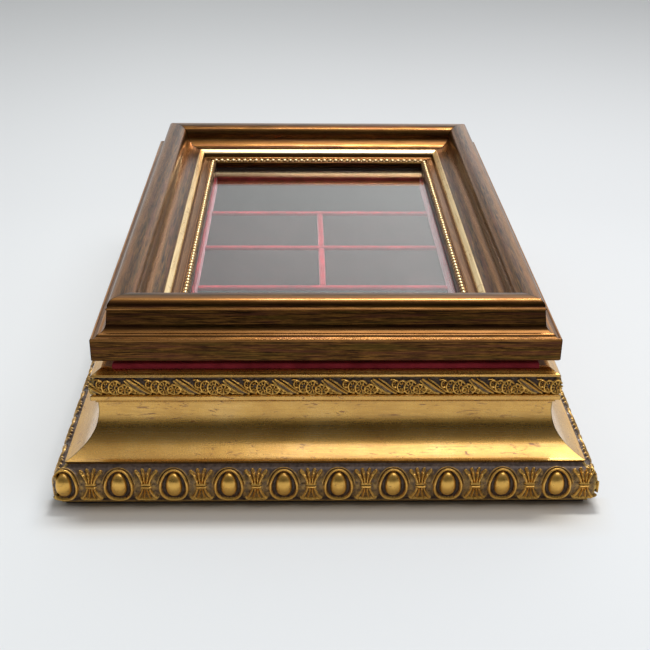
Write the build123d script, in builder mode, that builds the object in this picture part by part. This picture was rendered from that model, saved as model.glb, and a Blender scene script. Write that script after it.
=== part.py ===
from build123d import *
import os

# Coin display tray: a shallow casket made of picture-frame mouldings, with a
# velvet tray of six compartments and a hinged, glazed lid.
# Units are millimetres. +Z is up, -Y is the front, +X is the right.
# Origin: middle of the underside. Z = 0 is the surface that it stands on.

# ---------------------------------------------------------------- dimensions
lid_w = 230.0          # lid, outside width (X)
lid_d = 315.5          # lid, outside depth (Y)
lid_z = 72.0           # underside of the lid above the table
felt_t = 0.8           # felt sheet under the base
overhang = 21.6        # base moulding beyond the lid, on every side

sight_u = 43.4         # lid fascia to sight edge, across the moulding
rabbet_u = 36.4        # lid fascia to the glass rabbet
glass_t = 2.0
glass_top = 7.3        # top of the glass above the lid's underside
retainer_h = 3.8       # wood strip that holds the glass from below
retainer_end = 42.4

rail_inner = -17.0     # inside face of the base moulding, from the lid's fascia line
rim_h = 66.9           # flat top of the base moulding
board_t = 4.0          # bottom board
board_inset = -9.0     # edge of the bottom board, from the lid's fascia line

flange_x = 105.5       # tray flange, half width
flange_y = 155.25      # tray flange, half depth
flange_top = 69.95
well_x = 71.5          # tray well, half width
well_y = 116.0         # tray well, half depth
wall_t = 3.0
floor_t = 3.0
floor_top = 60.5
pad_t = 4.0
divider_t = 3.6
divider_top = 66.0
row_y = 58.5           # front and back cross dividers from the middle one

hinge_x = 70.0         # each hinge from the middle
hinge_w = 26.0
leaf_t = 0.9
leaf_in = -16.0        # inner end of each hinge leaf, from the lid's fascia line
knuckle_r = 3.0
pin_r = 1.25
pin_clear = 0.05
axis_o = 2.6           # hinge axis behind the lid's back face
knuckle_gap = 0.2

bumper_r = 2.8
bumper_h = 1.75
bumper_x = 102.3       # dome centres, over the flange's corners
bumper_y = 151.35

# ------------------------------------------------------------ derived values
LX = lid_w / 2
LY = lid_d / 2
BX = LX + overhang
BY = LY + overhang
axis_y = LY + axis_o
axis_z = rim_h - leaf_t + knuckle_r          # also lid_z - knuckle_r
sight_x = LX - sight_u
sight_y = LY - sight_u
rab_x = LX - rabbet_u
rab_y = LY - rabbet_u
ret_x = LX - retainer_end
ret_y = LY - retainer_end
glass_bot = lid_z + glass_top - glass_t
ret_top = glass_bot
ret_bot = ret_top - retainer_h
zf = felt_t

# Mitre planes: each corner's joint stands at 45 degrees in plan.
# A rail keeps what lies on the inner side of both its planes.


def mitre(sx, sy, hx, hy, front):
    # plane through the corner (sx*hx, sy*hy), normal along the rail's outward run
    n = (sx, -sy, 0) if front else (-sx, sy, 0)
    return Plane(origin=(sx * hx, sy * hy, 0), z_dir=n)


# Section points of the base moulding: (o, h), o outward from the lid's fascia
# line and h above the table.
egg_pts = [(16.9, zf), (20.3, 4.9), (21.6, 11.2), (20.9, 17.0), (18.4, 21.1), (14.8, 23.5)]
cove_pts = [(14.3, 23.6), (11.4, 24.7), (7.9, 26.5), (4.9, 28.8), (2.4, 31.7), (0.5, 35.2),
            (-0.7, 39.2), (-1.3, 43.4), (-1.3, 47.8)]
fillet_pts = [(-1.3, 47.8), (-1.3, 49.2), (1.6, 50.6), (2.0, 53.8), (1.2, 54.4)]
scroll_mid = (2.4, 59.2)
rim_pts = [(1.1, 64.1), (0.9, 64.9), (-0.6, 66.3), (-3.5, rim_h)]
back_pts = [(-3.5, rim_h), (rail_inner, rim_h), (rail_inner, zf + board_t),
            (board_inset, zf + board_t), (board_inset, zf), (16.9, zf)]

# Section points of the lid moulding: (u, z), u inward from the fascia and z
# above the lid's underside.
lid_out = [(1.0, 0.0), (0.0, 0.8), (0.0, 11.6), (0.9, 12.4)]
lid_cove = [(0.9, 12.4), (5.2, 14.1), (7.4, 17.6)]
lid_rise = [(7.4, 17.6), (8.0, 25.0)]
lid_round = [(8.0, 25.0), (9.5, 28.0), (12.6, 29.3)]
lid_crown = [(12.6, 29.3), (15.5, 29.5), (20.0, 28.1)]
lid_drop = [(20.0, 28.1), (21.1, 26.5), (22.0, 21.8)]
lid_dish = [(22.0, 21.8), (25.4, 17.9), (31.0, 16.1)]
lid_in = [(31.0, 16.1), (31.4, 16.5), (32.1, 16.4), (34.7, 14.5), (35.1, 11.6), (37.7, 11.5),
          (38.0, 12.1), (38.4, 12.1), (38.5, 11.0), (sight_u, 11.0), (sight_u, glass_top),
          (rabbet_u, glass_top), (rabbet_u, 0.0), (1.0, 0.0)]


# ------------------------------------------------------------------ fasteners
# V-nails join the mitres from below; one leg lies in each rail.
def v_nail_outline(sx, sy, hx, hy, inset, leg=6.0, t=0.5):
    cx, cy = sx * (hx - inset), sy * (hy - inset)
    return [(cx, cy), (cx - sx * leg, cy), (cx - sx * leg, cy - sy * t),
            (cx - sx * t, cy - sy * t), (cx - sx * t, cy - sy * leg), (cx, cy - sy * leg)]


with BuildPart() as base_v_nails:
    with BuildSketch(Plane.XY.offset(zf)):
        for sx in (-1, 1):
            for sy in (-1, 1):
                for inset in (7.0, 17.0):
                    with BuildLine():
                        Polyline(*v_nail_outline(sx, sy, BX, BY, inset), close=True)
                    make_face()
    extrude(amount=8.0)

with BuildPart() as lid_v_nails:
    with BuildSketch(Plane.XY.offset(lid_z)):
        for sx in (-1, 1):
            for sy in (-1, 1):
                for inset in (12.0, 24.0):
                    with BuildLine():
                        Polyline(*v_nail_outline(sx, sy, LX, LY, inset), close=True)
                    make_face()
    extrude(amount=7.0)

# Countersunk brass screws for the hinges: head flush with the leaf.
screw_len = 10.0
screw_xy = [(s * hinge_x + dx, LY + oy) for s in (-1, 1) for dx, oy in ((-8.0, -7.0), (8.0, -7.0), (0.0, -12.0))]

with BuildPart() as hinge_screws_base:
    with Locations(*[(x, y, rim_h) for x, y in screw_xy]):
        Cone(bottom_radius=1.1, top_radius=2.2, height=leaf_t, align=(Align.CENTER, Align.CENTER, Align.MAX))
    with Locations(*[(x, y, rim_h - leaf_t) for x, y in screw_xy]):
        Cylinder(1.1, screw_len - leaf_t - 2.0, align=(Align.CENTER, Align.CENTER, Align.MAX))
    with Locations(*[(x, y, rim_h - screw_len + 2.0) for x, y in screw_xy]):
        Cone(bottom_radius=0.25, top_radius=1.1, height=2.0, align=(Align.CENTER, Align.CENTER, Align.MAX))

with BuildPart() as hinge_screws_lid:
    with Locations(*[(x, y, lid_z - leaf_t) for x, y in screw_xy]):
        Cone(bottom_radius=2.2, top_radius=1.1, height=leaf_t, align=(Align.CENTER, Align.CENTER, Align.MIN))
    with Locations(*[(x, y, lid_z) for x, y in screw_xy]):
        Cylinder(1.1, screw_len - leaf_t - 2.0, align=(Align.CENTER, Align.CENTER, Align.MIN))
    with Locations(*[(x, y, lid_z + screw_len - leaf_t - 2.0) for x, y in screw_xy]):
        Cone(bottom_radius=1.1, top_radius=0.25, height=2.0, align=(Align.CENTER, Align.CENTER, Align.MIN))

# Brads that pin the bottom board up into its rabbet.
brad_xy = [(s * (LX - 13.0), y) for s in (-1, 1) for y in (-100.0, -35.0, 35.0, 100.0)]
brad_xy += [(x, s * (LY - 13.0)) for s in (-1, 1) for x in (-60.0, 60.0)]

with BuildPart() as board_brads:
    with Locations(*[(x, y, zf) for x, y in brad_xy]):
        Cylinder(1.3, 0.6, align=(Align.CENTER, Align.CENTER, Align.MIN))
    with Locations(*[(x, y, zf + 0.6) for x, y in brad_xy]):
        Cylinder(0.6, 11.4, align=(Align.CENTER, Align.CENTER, Align.MIN))

# ----------------------------------------------------------------- lid rails
def lid_section(side, half):
    # draws the closed moulding section on the given side
    def q(p):
        return (side * (half - p[0]), lid_z + p[1])
    Polyline(*[q(p) for p in lid_out])
    ThreePointArc(*[q(p) for p in lid_cove])
    Line(*[q(p) for p in lid_rise])
    ThreePointArc(*[q(p) for p in lid_round])
    ThreePointArc(*[q(p) for p in lid_crown])
    ThreePointArc(*[q(p) for p in lid_drop])
    ThreePointArc(*[q(p) for p in lid_dish])
    Polyline(*[q(p) for p in lid_in])


def base_section(side, half):
    def q(p):
        return (side * (half + p[0]), p[1])
    Spline(*[q(p) for p in egg_pts])
    Line(q(egg_pts[-1]), q(cove_pts[0]))
    Spline(*[q(p) for p in cove_pts])
    Polyline(*[q(p) for p in fillet_pts])
    ThreePointArc(q(fillet_pts[-1]), q(scroll_mid), q(rim_pts[0]))
    Polyline(*[q(p) for p in rim_pts])
    Polyline(*[q(p) for p in back_pts])


with BuildPart() as base_front_rail:
    with BuildSketch(Plane.YZ):
        with BuildLine():
            base_section(-1, LY)
        make_face()
    extrude(amount=BX, both=True)
    split(bisect_by=mitre(1, -1, BX, BY, True), keep=Keep.BOTTOM)
    split(bisect_by=mitre(-1, -1, BX, BY, True), keep=Keep.BOTTOM)
    add(base_v_nails.part, mode=Mode.SUBTRACT)
    add(board_brads.part, mode=Mode.SUBTRACT)

with BuildPart() as base_back_rail:
    with BuildSketch(Plane.YZ):
        with BuildLine():
            base_section(1, LY)
        make_face()
    extrude(amount=BX, both=True)
    split(bisect_by=mitre(1, 1, BX, BY, True), keep=Keep.BOTTOM)
    split(bisect_by=mitre(-1, 1, BX, BY, True), keep=Keep.BOTTOM)
    add(base_v_nails.part, mode=Mode.SUBTRACT)
    add(board_brads.part, mode=Mode.SUBTRACT)
    add(hinge_screws_base.part, mode=Mode.SUBTRACT)
    # mortises that take the lower hinge leaves flush
    with Locations(*[(s * hinge_x, LY + leaf_in, rim_h) for s in (-1, 1)]):
        Box(hinge_w, 24.0, leaf_t, align=(Align.CENTER, Align.MIN, Align.MAX), mode=Mode.SUBTRACT)

with BuildPart() as base_left_rail:
    with BuildSketch(Plane.XZ):
        with BuildLine():
            base_section(-1, LX)
        make_face()
    extrude(amount=BY, both=True)
    split(bisect_by=mitre(-1, 1, BX, BY, False), keep=Keep.BOTTOM)
    split(bisect_by=mitre(-1, -1, BX, BY, False), keep=Keep.BOTTOM)
    add(base_v_nails.part, mode=Mode.SUBTRACT)
    add(board_brads.part, mode=Mode.SUBTRACT)

with BuildPart() as base_right_rail:
    with BuildSketch(Plane.XZ):
        with BuildLine():
            base_section(1, LX)
        make_face()
    extrude(amount=BY, both=True)
    split(bisect_by=mitre(1, 1, BX, BY, False), keep=Keep.BOTTOM)
    split(bisect_by=mitre(1, -1, BX, BY, False), keep=Keep.BOTTOM)
    add(base_v_nails.part, mode=Mode.SUBTRACT)
    add(board_brads.part, mode=Mode.SUBTRACT)

# ------------------------------------------------------ bottom board and felt
with BuildPart() as base_bottom_board:
    with BuildSketch(Plane.XY.offset(zf)):
        Rectangle(2 * (LX + board_inset), 2 * (LY + board_inset))
    extrude(amount=board_t)
    add(board_brads.part, mode=Mode.SUBTRACT)

with BuildPart() as base_felt:
    with BuildSketch(Plane.XY):
        RectangleRounded(2 * (LX + 15.9), 2 * (LY + 15.9), 1.5)
    extrude(amount=felt_t)

# Softwood blocks glued into the inside corners, from the board up to the tray.
with BuildPart() as corner_blocks:
    with BuildSketch(Plane.XY.offset(zf + board_t)):
        for sx in (-1, 1):
            for sy in (-1, 1):
                cx, cy = sx * (LX + rail_inner), sy * (LY + rail_inner)
                with BuildLine():
                    Polyline((cx, cy), (cx - sx * 16, cy), (cx, cy - sy * 16), close=True)
                make_face()
    extrude(amount=40.0)

# --------------------------------------------------------------- velvet tray
with BuildPart() as tray_flange_front:
    with BuildSketch(Plane.XY.offset(rim_h)):
        with BuildLine():
            Polyline((-flange_x, -flange_y), (flange_x, -flange_y), (well_x, -well_y), (-well_x, -well_y), close=True)
        make_face()
    extrude(amount=flange_top - rim_h)

with BuildPart() as tray_flange_back:
    with BuildSketch(Plane.XY.offset(rim_h)):
        with BuildLine():
            Polyline((-flange_x, flange_y), (flange_x, flange_y), (well_x, well_y), (-well_x, well_y), close=True)
        make_face()
    extrude(amount=flange_top - rim_h)

with BuildPart() as tray_flange_left:
    with BuildSketch(Plane.XY.offset(rim_h)):
        with BuildLine():
            Polyline((-flange_x, -flange_y), (-well_x, -well_y), (-well_x, well_y), (-flange_x, flange_y), close=True)
        make_face()
    extrude(amount=flange_top - rim_h)

with BuildPart() as tray_flange_right:
    with BuildSketch(Plane.XY.offset(rim_h)):
        with BuildLine():
            Polyline((flange_x, -flange_y), (well_x, -well_y), (well_x, well_y), (flange_x, flange_y), close=True)
        make_face()
    extrude(amount=flange_top - rim_h)

with BuildPart() as tray_wall_front:
    with BuildSketch(Plane.XY.offset(floor_top)):
        with Locations((0, -well_y - wall_t / 2)):
            Rectangle(2 * (well_x + wall_t), wall_t)
    extrude(amount=rim_h - floor_top)

with BuildPart() as tray_wall_back:
    with BuildSketch(Plane.XY.offset(floor_top)):
        with Locations((0, well_y + wall_t / 2)):
            Rectangle(2 * (well_x + wall_t), wall_t)
    extrude(amount=rim_h - floor_top)

with BuildPart() as tray_wall_left:
    with BuildSketch(Plane.XY.offset(floor_top)):
        with Locations((-well_x - wall_t / 2, 0)):
            Rectangle(wall_t, 2 * well_y)
    extrude(amount=rim_h - floor_top)

with BuildPart() as tray_wall_right:
    with BuildSketch(Plane.XY.offset(floor_top)):
        with Locations((well_x + wall_t / 2, 0)):
            Rectangle(wall_t, 2 * well_y)
    extrude(amount=rim_h - floor_top)

with BuildPart() as tray_floor:
    with BuildSketch(Plane.XY.offset(floor_top - floor_t)):
        Rectangle(2 * (well_x + wall_t), 2 * (well_y + wall_t))
    extrude(amount=floor_t)

with BuildPart() as cross_divider_front:
    with BuildSketch(Plane.XY.offset(floor_top)):
        with Locations((0, -row_y)):
            Rectangle(2 * well_x, divider_t)
    extrude(amount=divider_top - floor_top)

with BuildPart() as cross_divider_middle:
    with BuildSketch(Plane.XY.offset(floor_top)):
        Rectangle(2 * well_x, divider_t)
    extrude(amount=divider_top - floor_top)

with BuildPart() as cross_divider_back:
    with BuildSketch(Plane.XY.offset(floor_top)):
        with Locations((0, row_y)):
            Rectangle(2 * well_x, divider_t)
    extrude(amount=divider_top - floor_top)

with BuildPart() as centre_divider_front:
    with BuildSketch(Plane.XY.offset(floor_top)):
        with Locations((0, -row_y / 2)):
            Rectangle(divider_t, row_y - divider_t)
    extrude(amount=divider_top - floor_top)

with BuildPart() as centre_divider_back:
    with BuildSketch(Plane.XY.offset(floor_top)):
        with Locations((0, row_y / 2)):
            Rectangle(divider_t, row_y - divider_t)
    extrude(amount=divider_top - floor_top)

# Loose velvet pads, one on the floor of each compartment.
end_len = well_y - row_y - divider_t / 2
end_mid = (well_y + row_y + divider_t / 2) / 2
mid_len = row_y - divider_t
half_w = well_x - divider_t / 2
half_mid = (well_x + divider_t / 2) / 2

with BuildPart() as coin_pad_front:
    with BuildSketch(Plane.XY.offset(floor_top)):
        with Locations((0, -end_mid)):
            Rectangle(2 * well_x - 0.4, end_len - 0.4)
    extrude(amount=pad_t)

with BuildPart() as coin_pad_back:
    with BuildSketch(Plane.XY.offset(floor_top)):
        with Locations((0, end_mid)):
            Rectangle(2 * well_x - 0.4, end_len - 0.4)
    extrude(amount=pad_t)

with BuildPart() as coin_pad_front_left:
    with BuildSketch(Plane.XY.offset(floor_top)):
        with Locations((-half_mid, -row_y / 2)):
            Rectangle(half_w - 0.4, mid_len - 0.4)
    extrude(amount=pad_t)

with BuildPart() as coin_pad_front_right:
    with BuildSketch(Plane.XY.offset(floor_top)):
        with Locations((half_mid, -row_y / 2)):
            Rectangle(half_w - 0.4, mid_len - 0.4)
    extrude(amount=pad_t)

with BuildPart() as coin_pad_back_left:
    with BuildSketch(Plane.XY.offset(floor_top)):
        with Locations((-half_mid, row_y / 2)):
            Rectangle(half_w - 0.4, mid_len - 0.4)
    extrude(amount=pad_t)

with BuildPart() as coin_pad_back_right:
    with BuildSketch(Plane.XY.offset(floor_top)):
        with Locations((half_mid, row_y / 2)):
            Rectangle(half_w - 0.4, mid_len - 0.4)
    extrude(amount=pad_t)

# ------------------------------------------------- lid rails, glass, retainers
# Brads driven sideways through the retainers into the lid rails.
ret_mid_z = (ret_top + ret_bot) / 2
rb_x = [-45.0, 45.0]
rb_y = [-90.0, -30.0, 30.0, 90.0]
with BuildPart() as retainer_brads:
    with Locations(*[Location((x, s * (ret_y + 1.0), ret_mid_z), (90 * (-s), 0, 0)) for x in rb_x for s in (-1, 1)]):
        Cylinder(0.5, 14.0, align=(Align.CENTER, Align.CENTER, Align.MIN))
    with Locations(*[Location((s * (ret_x + 1.0), y, ret_mid_z), (0, 90 * s, 0)) for y in rb_y for s in (-1, 1)]):
        Cylinder(0.5, 14.0, align=(Align.CENTER, Align.CENTER, Align.MIN))

with BuildPart() as lid_front_rail:
    with BuildSketch(Plane.YZ):
        with BuildLine():
            lid_section(-1, LY)
        make_face()
    extrude(amount=LX, both=True)
    split(bisect_by=mitre(1, -1, LX, LY, True), keep=Keep.BOTTOM)
    split(bisect_by=mitre(-1, -1, LX, LY, True), keep=Keep.BOTTOM)
    add(lid_v_nails.part, mode=Mode.SUBTRACT)
    add(retainer_brads.part, mode=Mode.SUBTRACT)

with BuildPart() as lid_back_rail:
    with BuildSketch(Plane.YZ):
        with BuildLine():
            lid_section(1, LY)
        make_face()
    extrude(amount=LX, both=True)
    split(bisect_by=mitre(1, 1, LX, LY, True), keep=Keep.BOTTOM)
    split(bisect_by=mitre(-1, 1, LX, LY, True), keep=Keep.BOTTOM)
    add(lid_v_nails.part, mode=Mode.SUBTRACT)
    add(retainer_brads.part, mode=Mode.SUBTRACT)
    add(hinge_screws_lid.part, mode=Mode.SUBTRACT)

with BuildPart() as lid_left_rail:
    with BuildSketch(Plane.XZ):
        with BuildLine():
            lid_section(-1, LX)
        make_face()
    extrude(amount=LY, both=True)
    split(bisect_by=mitre(-1, 1, LX, LY, False), keep=Keep.BOTTOM)
    split(bisect_by=mitre(-1, -1, LX, LY, False), keep=Keep.BOTTOM)
    add(lid_v_nails.part, mode=Mode.SUBTRACT)
    add(retainer_brads.part, mode=Mode.SUBTRACT)

with BuildPart() as lid_right_rail:
    with BuildSketch(Plane.XZ):
        with BuildLine():
            lid_section(1, LX)
        make_face()
    extrude(amount=LY, both=True)
    split(bisect_by=mitre(1, 1, LX, LY, False), keep=Keep.BOTTOM)
    split(bisect_by=mitre(1, -1, LX, LY, False), keep=Keep.BOTTOM)
    add(lid_v_nails.part, mode=Mode.SUBTRACT)
    add(retainer_brads.part, mode=Mode.SUBTRACT)

with BuildPart() as lid_glass:
    with BuildSketch(Plane.XY.offset(glass_bot)):
        Rectangle(2 * rab_x - 0.6, 2 * rab_y - 0.6)
    extrude(amount=glass_t)

with BuildPart() as glass_retainer_front:
    with BuildSketch(Plane.XY.offset(ret_bot)):
        with BuildLine():
            Polyline((-rab_x, -rab_y), (rab_x, -rab_y), (ret_x, -ret_y), (-ret_x, -ret_y), close=True)
        make_face()
    extrude(amount=retainer_h)
    add(retainer_brads.part, mode=Mode.SUBTRACT)

with BuildPart() as glass_retainer_back:
    with BuildSketch(Plane.XY.offset(ret_bot)):
        with BuildLine():
            Polyline((-rab_x, rab_y), (rab_x, rab_y), (ret_x, ret_y), (-ret_x, ret_y), close=True)
        make_face()
    extrude(amount=retainer_h)
    add(retainer_brads.part, mode=Mode.SUBTRACT)

with BuildPart() as glass_retainer_left:
    with BuildSketch(Plane.XY.offset(ret_bot)):
        with BuildLine():
            Polyline((-rab_x, -rab_y), (-ret_x, -ret_y), (-ret_x, ret_y), (-rab_x, rab_y), close=True)
        make_face()
    extrude(amount=retainer_h)
    add(retainer_brads.part, mode=Mode.SUBTRACT)

with BuildPart() as glass_retainer_right:
    with BuildSketch(Plane.XY.offset(ret_bot)):
        with BuildLine():
            Polyline((rab_x, -rab_y), (ret_x, -ret_y), (ret_x, ret_y), (rab_x, rab_y), close=True)
        make_face()
    extrude(amount=retainer_h)
    add(retainer_brads.part, mode=Mode.SUBTRACT)

# Clear silicone domes stuck under the lid's four corners.
bump_r = (bumper_r ** 2 + bumper_h ** 2) / (2 * bumper_h)
with BuildPart() as lid_bumpers:
    with Locations(*[(sx * bumper_x, sy * bumper_y, lid_z - bumper_h + bump_r) for sx in (-1, 1) for sy in (-1, 1)]):
        Sphere(bump_r)
    with Locations((0, 0, lid_z)):
        Box(2 * BX, 2 * BY, 40.0, align=(Align.CENTER, Align.CENTER, Align.MIN), mode=Mode.SUBTRACT)

# -------------------------------------------------------------------- hinges
# Brass butt hinges. Three knuckles: the outer two belong to the base leaf, the
# middle one to the lid leaf. The pin runs through all three.
knuckle_w = (hinge_w - 2 * knuckle_gap) / 3
end_off = (hinge_w - knuckle_w) / 2
free_edge = LY + axis_o - knuckle_r - 0.3     # where a leaf stops short of the other leaf's knuckle


with BuildPart() as hinge_base_leaf_left:
    # plate, tangent under the knuckles
    with BuildSketch(Plane.XY.offset(rim_h - leaf_t)):
        with Locations((-hinge_x, (LY + leaf_in + free_edge) / 2)):
            Rectangle(hinge_w, free_edge - LY - leaf_in)
        with Locations((-hinge_x - end_off, (LY + leaf_in + axis_y) / 2), (-hinge_x + end_off, (LY + leaf_in + axis_y) / 2)):
            Rectangle(knuckle_w, axis_y - LY - leaf_in)
    extrude(amount=leaf_t)
    with Locations(Location((-hinge_x - end_off, axis_y, axis_z), (0, 90, 0)), Location((-hinge_x + end_off, axis_y, axis_z), (0, 90, 0))):
        Cylinder(knuckle_r, knuckle_w)
        Cylinder(pin_r, knuckle_w, mode=Mode.SUBTRACT)
    add(hinge_screws_base.part, mode=Mode.SUBTRACT)

with BuildPart() as hinge_base_leaf_right:
    with BuildSketch(Plane.XY.offset(rim_h - leaf_t)):
        with Locations((hinge_x, (LY + leaf_in + free_edge) / 2)):
            Rectangle(hinge_w, free_edge - LY - leaf_in)
        with Locations((hinge_x - end_off, (LY + leaf_in + axis_y) / 2), (hinge_x + end_off, (LY + leaf_in + axis_y) / 2)):
            Rectangle(knuckle_w, axis_y - LY - leaf_in)
    extrude(amount=leaf_t)
    with Locations(Location((hinge_x - end_off, axis_y, axis_z), (0, 90, 0)), Location((hinge_x + end_off, axis_y, axis_z), (0, 90, 0))):
        Cylinder(knuckle_r, knuckle_w)
        Cylinder(pin_r, knuckle_w, mode=Mode.SUBTRACT)
    add(hinge_screws_base.part, mode=Mode.SUBTRACT)

with BuildPart() as hinge_lid_leaf_left:
    # plate, tangent over the middle knuckle
    with BuildSketch(Plane.XY.offset(lid_z - leaf_t)):
        with Locations((-hinge_x, (LY + leaf_in + free_edge) / 2)):
            Rectangle(hinge_w, free_edge - LY - leaf_in)
        with Locations((-hinge_x, (LY + leaf_in + axis_y) / 2)):
            Rectangle(knuckle_w, axis_y - LY - leaf_in)
    extrude(amount=leaf_t)
    with Locations(Location((-hinge_x, axis_y, axis_z), (0, 90, 0))):
        Cylinder(knuckle_r, knuckle_w)
        Cylinder(pin_r + pin_clear, knuckle_w, mode=Mode.SUBTRACT)
    add(hinge_screws_lid.part, mode=Mode.SUBTRACT)

with BuildPart() as hinge_lid_leaf_right:
    with BuildSketch(Plane.XY.offset(lid_z - leaf_t)):
        with Locations((hinge_x, (LY + leaf_in + free_edge) / 2)):
            Rectangle(hinge_w, free_edge - LY - leaf_in)
        with Locations((hinge_x, (LY + leaf_in + axis_y) / 2)):
            Rectangle(knuckle_w, axis_y - LY - leaf_in)
    extrude(amount=leaf_t)
    with Locations(Location((hinge_x, axis_y, axis_z), (0, 90, 0))):
        Cylinder(knuckle_r, knuckle_w)
        Cylinder(pin_r + pin_clear, knuckle_w, mode=Mode.SUBTRACT)
    add(hinge_screws_lid.part, mode=Mode.SUBTRACT)

# Each pin ends in a small turned finial against the outer knuckles.
with BuildPart() as hinge_pin_left:
    with Locations(Location((-hinge_x, axis_y, axis_z), (0, 90, 0))):
        Cylinder(pin_r, hinge_w)
    with Locations(Location((-hinge_x + hinge_w / 2 + 0.6, axis_y, axis_z), (0, 90, 0)),
                   Location((-hinge_x - hinge_w / 2 - 0.6, axis_y, axis_z), (0, -90, 0))):
        Cone(bottom_radius=2.1, top_radius=1.4, height=1.2)

with BuildPart() as hinge_pin_right:
    with Locations(Location((hinge_x, axis_y, axis_z), (0, 90, 0))):
        Cylinder(pin_r, hinge_w)
    with Locations(Location((hinge_x + hinge_w / 2 + 0.6, axis_y, axis_z), (0, 90, 0)),
                   Location((hinge_x - hinge_w / 2 - 0.6, axis_y, axis_z), (0, -90, 0))):
        Cone(bottom_radius=2.1, top_radius=1.4, height=1.2)

# -------------------------------------------------------------------- export
os.makedirs("parts", exist_ok=True)

base_front_rail.part.label = "base_front_rail"
base_back_rail.part.label = "base_back_rail"
base_left_rail.part.label = "base_left_rail"
base_right_rail.part.label = "base_right_rail"
base_bottom_board.part.label = "base_bottom_board"
base_felt.part.label = "base_felt"
corner_blocks.part.label = "corner_blocks"
base_v_nails.part.label = "base_v_nails"
board_brads.part.label = "board_brads"
tray_flange_front.part.label = "tray_flange_front"
tray_flange_back.part.label = "tray_flange_back"
tray_flange_left.part.label = "tray_flange_left"
tray_flange_right.part.label = "tray_flange_right"
tray_wall_front.part.label = "tray_wall_front"
tray_wall_back.part.label = "tray_wall_back"
tray_wall_left.part.label = "tray_wall_left"
tray_wall_right.part.label = "tray_wall_right"
tray_floor.part.label = "tray_floor"
cross_divider_front.part.label = "cross_divider_front"
cross_divider_middle.part.label = "cross_divider_middle"
cross_divider_back.part.label = "cross_divider_back"
centre_divider_front.part.label = "centre_divider_front"
centre_divider_back.part.label = "centre_divider_back"
coin_pad_front.part.label = "coin_pad_front"
coin_pad_back.part.label = "coin_pad_back"
coin_pad_front_left.part.label = "coin_pad_front_left"
coin_pad_front_right.part.label = "coin_pad_front_right"
coin_pad_back_left.part.label = "coin_pad_back_left"
coin_pad_back_right.part.label = "coin_pad_back_right"
lid_front_rail.part.label = "lid_front_rail"
lid_back_rail.part.label = "lid_back_rail"
lid_left_rail.part.label = "lid_left_rail"
lid_right_rail.part.label = "lid_right_rail"
lid_v_nails.part.label = "lid_v_nails"
lid_glass.part.label = "lid_glass"
glass_retainer_front.part.label = "glass_retainer_front"
glass_retainer_back.part.label = "glass_retainer_back"
glass_retainer_left.part.label = "glass_retainer_left"
glass_retainer_right.part.label = "glass_retainer_right"
retainer_brads.part.label = "retainer_brads"
lid_bumpers.part.label = "lid_bumpers"
hinge_base_leaf_left.part.label = "hinge_base_leaf_left"
hinge_base_leaf_right.part.label = "hinge_base_leaf_right"
hinge_lid_leaf_left.part.label = "hinge_lid_leaf_left"
hinge_lid_leaf_right.part.label = "hinge_lid_leaf_right"
hinge_pin_left.part.label = "hinge_pin_left"
hinge_pin_right.part.label = "hinge_pin_right"
hinge_screws_base.part.label = "hinge_screws_base"
hinge_screws_lid.part.label = "hinge_screws_lid"

pieces = [base_front_rail, base_back_rail, base_left_rail, base_right_rail, base_bottom_board,
          base_felt, corner_blocks, base_v_nails, board_brads,
          tray_flange_front, tray_flange_back, tray_flange_left, tray_flange_right,
          tray_wall_front, tray_wall_back, tray_wall_left, tray_wall_right, tray_floor,
          cross_divider_front, cross_divider_middle, cross_divider_back,
          centre_divider_front, centre_divider_back,
          coin_pad_front, coin_pad_back, coin_pad_front_left, coin_pad_front_right,
          coin_pad_back_left, coin_pad_back_right,
          lid_front_rail, lid_back_rail, lid_left_rail, lid_right_rail, lid_v_nails, lid_glass,
          glass_retainer_front, glass_retainer_back, glass_retainer_left, glass_retainer_right,
          retainer_brads, lid_bumpers,
          hinge_base_leaf_left, hinge_base_leaf_right, hinge_lid_leaf_left, hinge_lid_leaf_right,
          hinge_pin_left, hinge_pin_right, hinge_screws_base, hinge_screws_lid]
for piece in pieces:
    export_step(piece.part, "parts/" + piece.part.label + ".step")
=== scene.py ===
import math
import bpy
import bmesh
import numpy as np
from mathutils import Matrix, Vector


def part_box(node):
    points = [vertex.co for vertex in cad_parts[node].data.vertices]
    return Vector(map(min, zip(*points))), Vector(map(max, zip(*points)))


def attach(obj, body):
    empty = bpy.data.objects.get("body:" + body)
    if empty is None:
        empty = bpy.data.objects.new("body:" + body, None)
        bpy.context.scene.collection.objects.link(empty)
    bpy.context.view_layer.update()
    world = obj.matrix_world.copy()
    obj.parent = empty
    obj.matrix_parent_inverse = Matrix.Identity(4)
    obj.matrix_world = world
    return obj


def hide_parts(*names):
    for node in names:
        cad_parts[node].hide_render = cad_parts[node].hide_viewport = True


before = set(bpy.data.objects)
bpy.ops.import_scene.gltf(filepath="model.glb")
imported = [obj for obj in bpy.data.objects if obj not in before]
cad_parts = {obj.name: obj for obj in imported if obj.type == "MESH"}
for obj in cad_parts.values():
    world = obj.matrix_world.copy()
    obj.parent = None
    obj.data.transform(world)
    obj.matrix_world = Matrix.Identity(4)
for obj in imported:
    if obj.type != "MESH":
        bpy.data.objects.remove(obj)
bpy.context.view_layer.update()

MM = 0.001

# ------------------------------------------------------------ frame sizes (mm)
_lo, _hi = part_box("lid_front_rail")
LX = float(_hi[0]) * 1000.0
LY = -float(_lo[1]) * 1000.0
LZ = float(_lo[2]) * 1000.0
_lo, _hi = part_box("base_felt")
FELT = float(_hi[2]) * 1000.0
RIM = 66.9
OVER = 21.6

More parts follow.
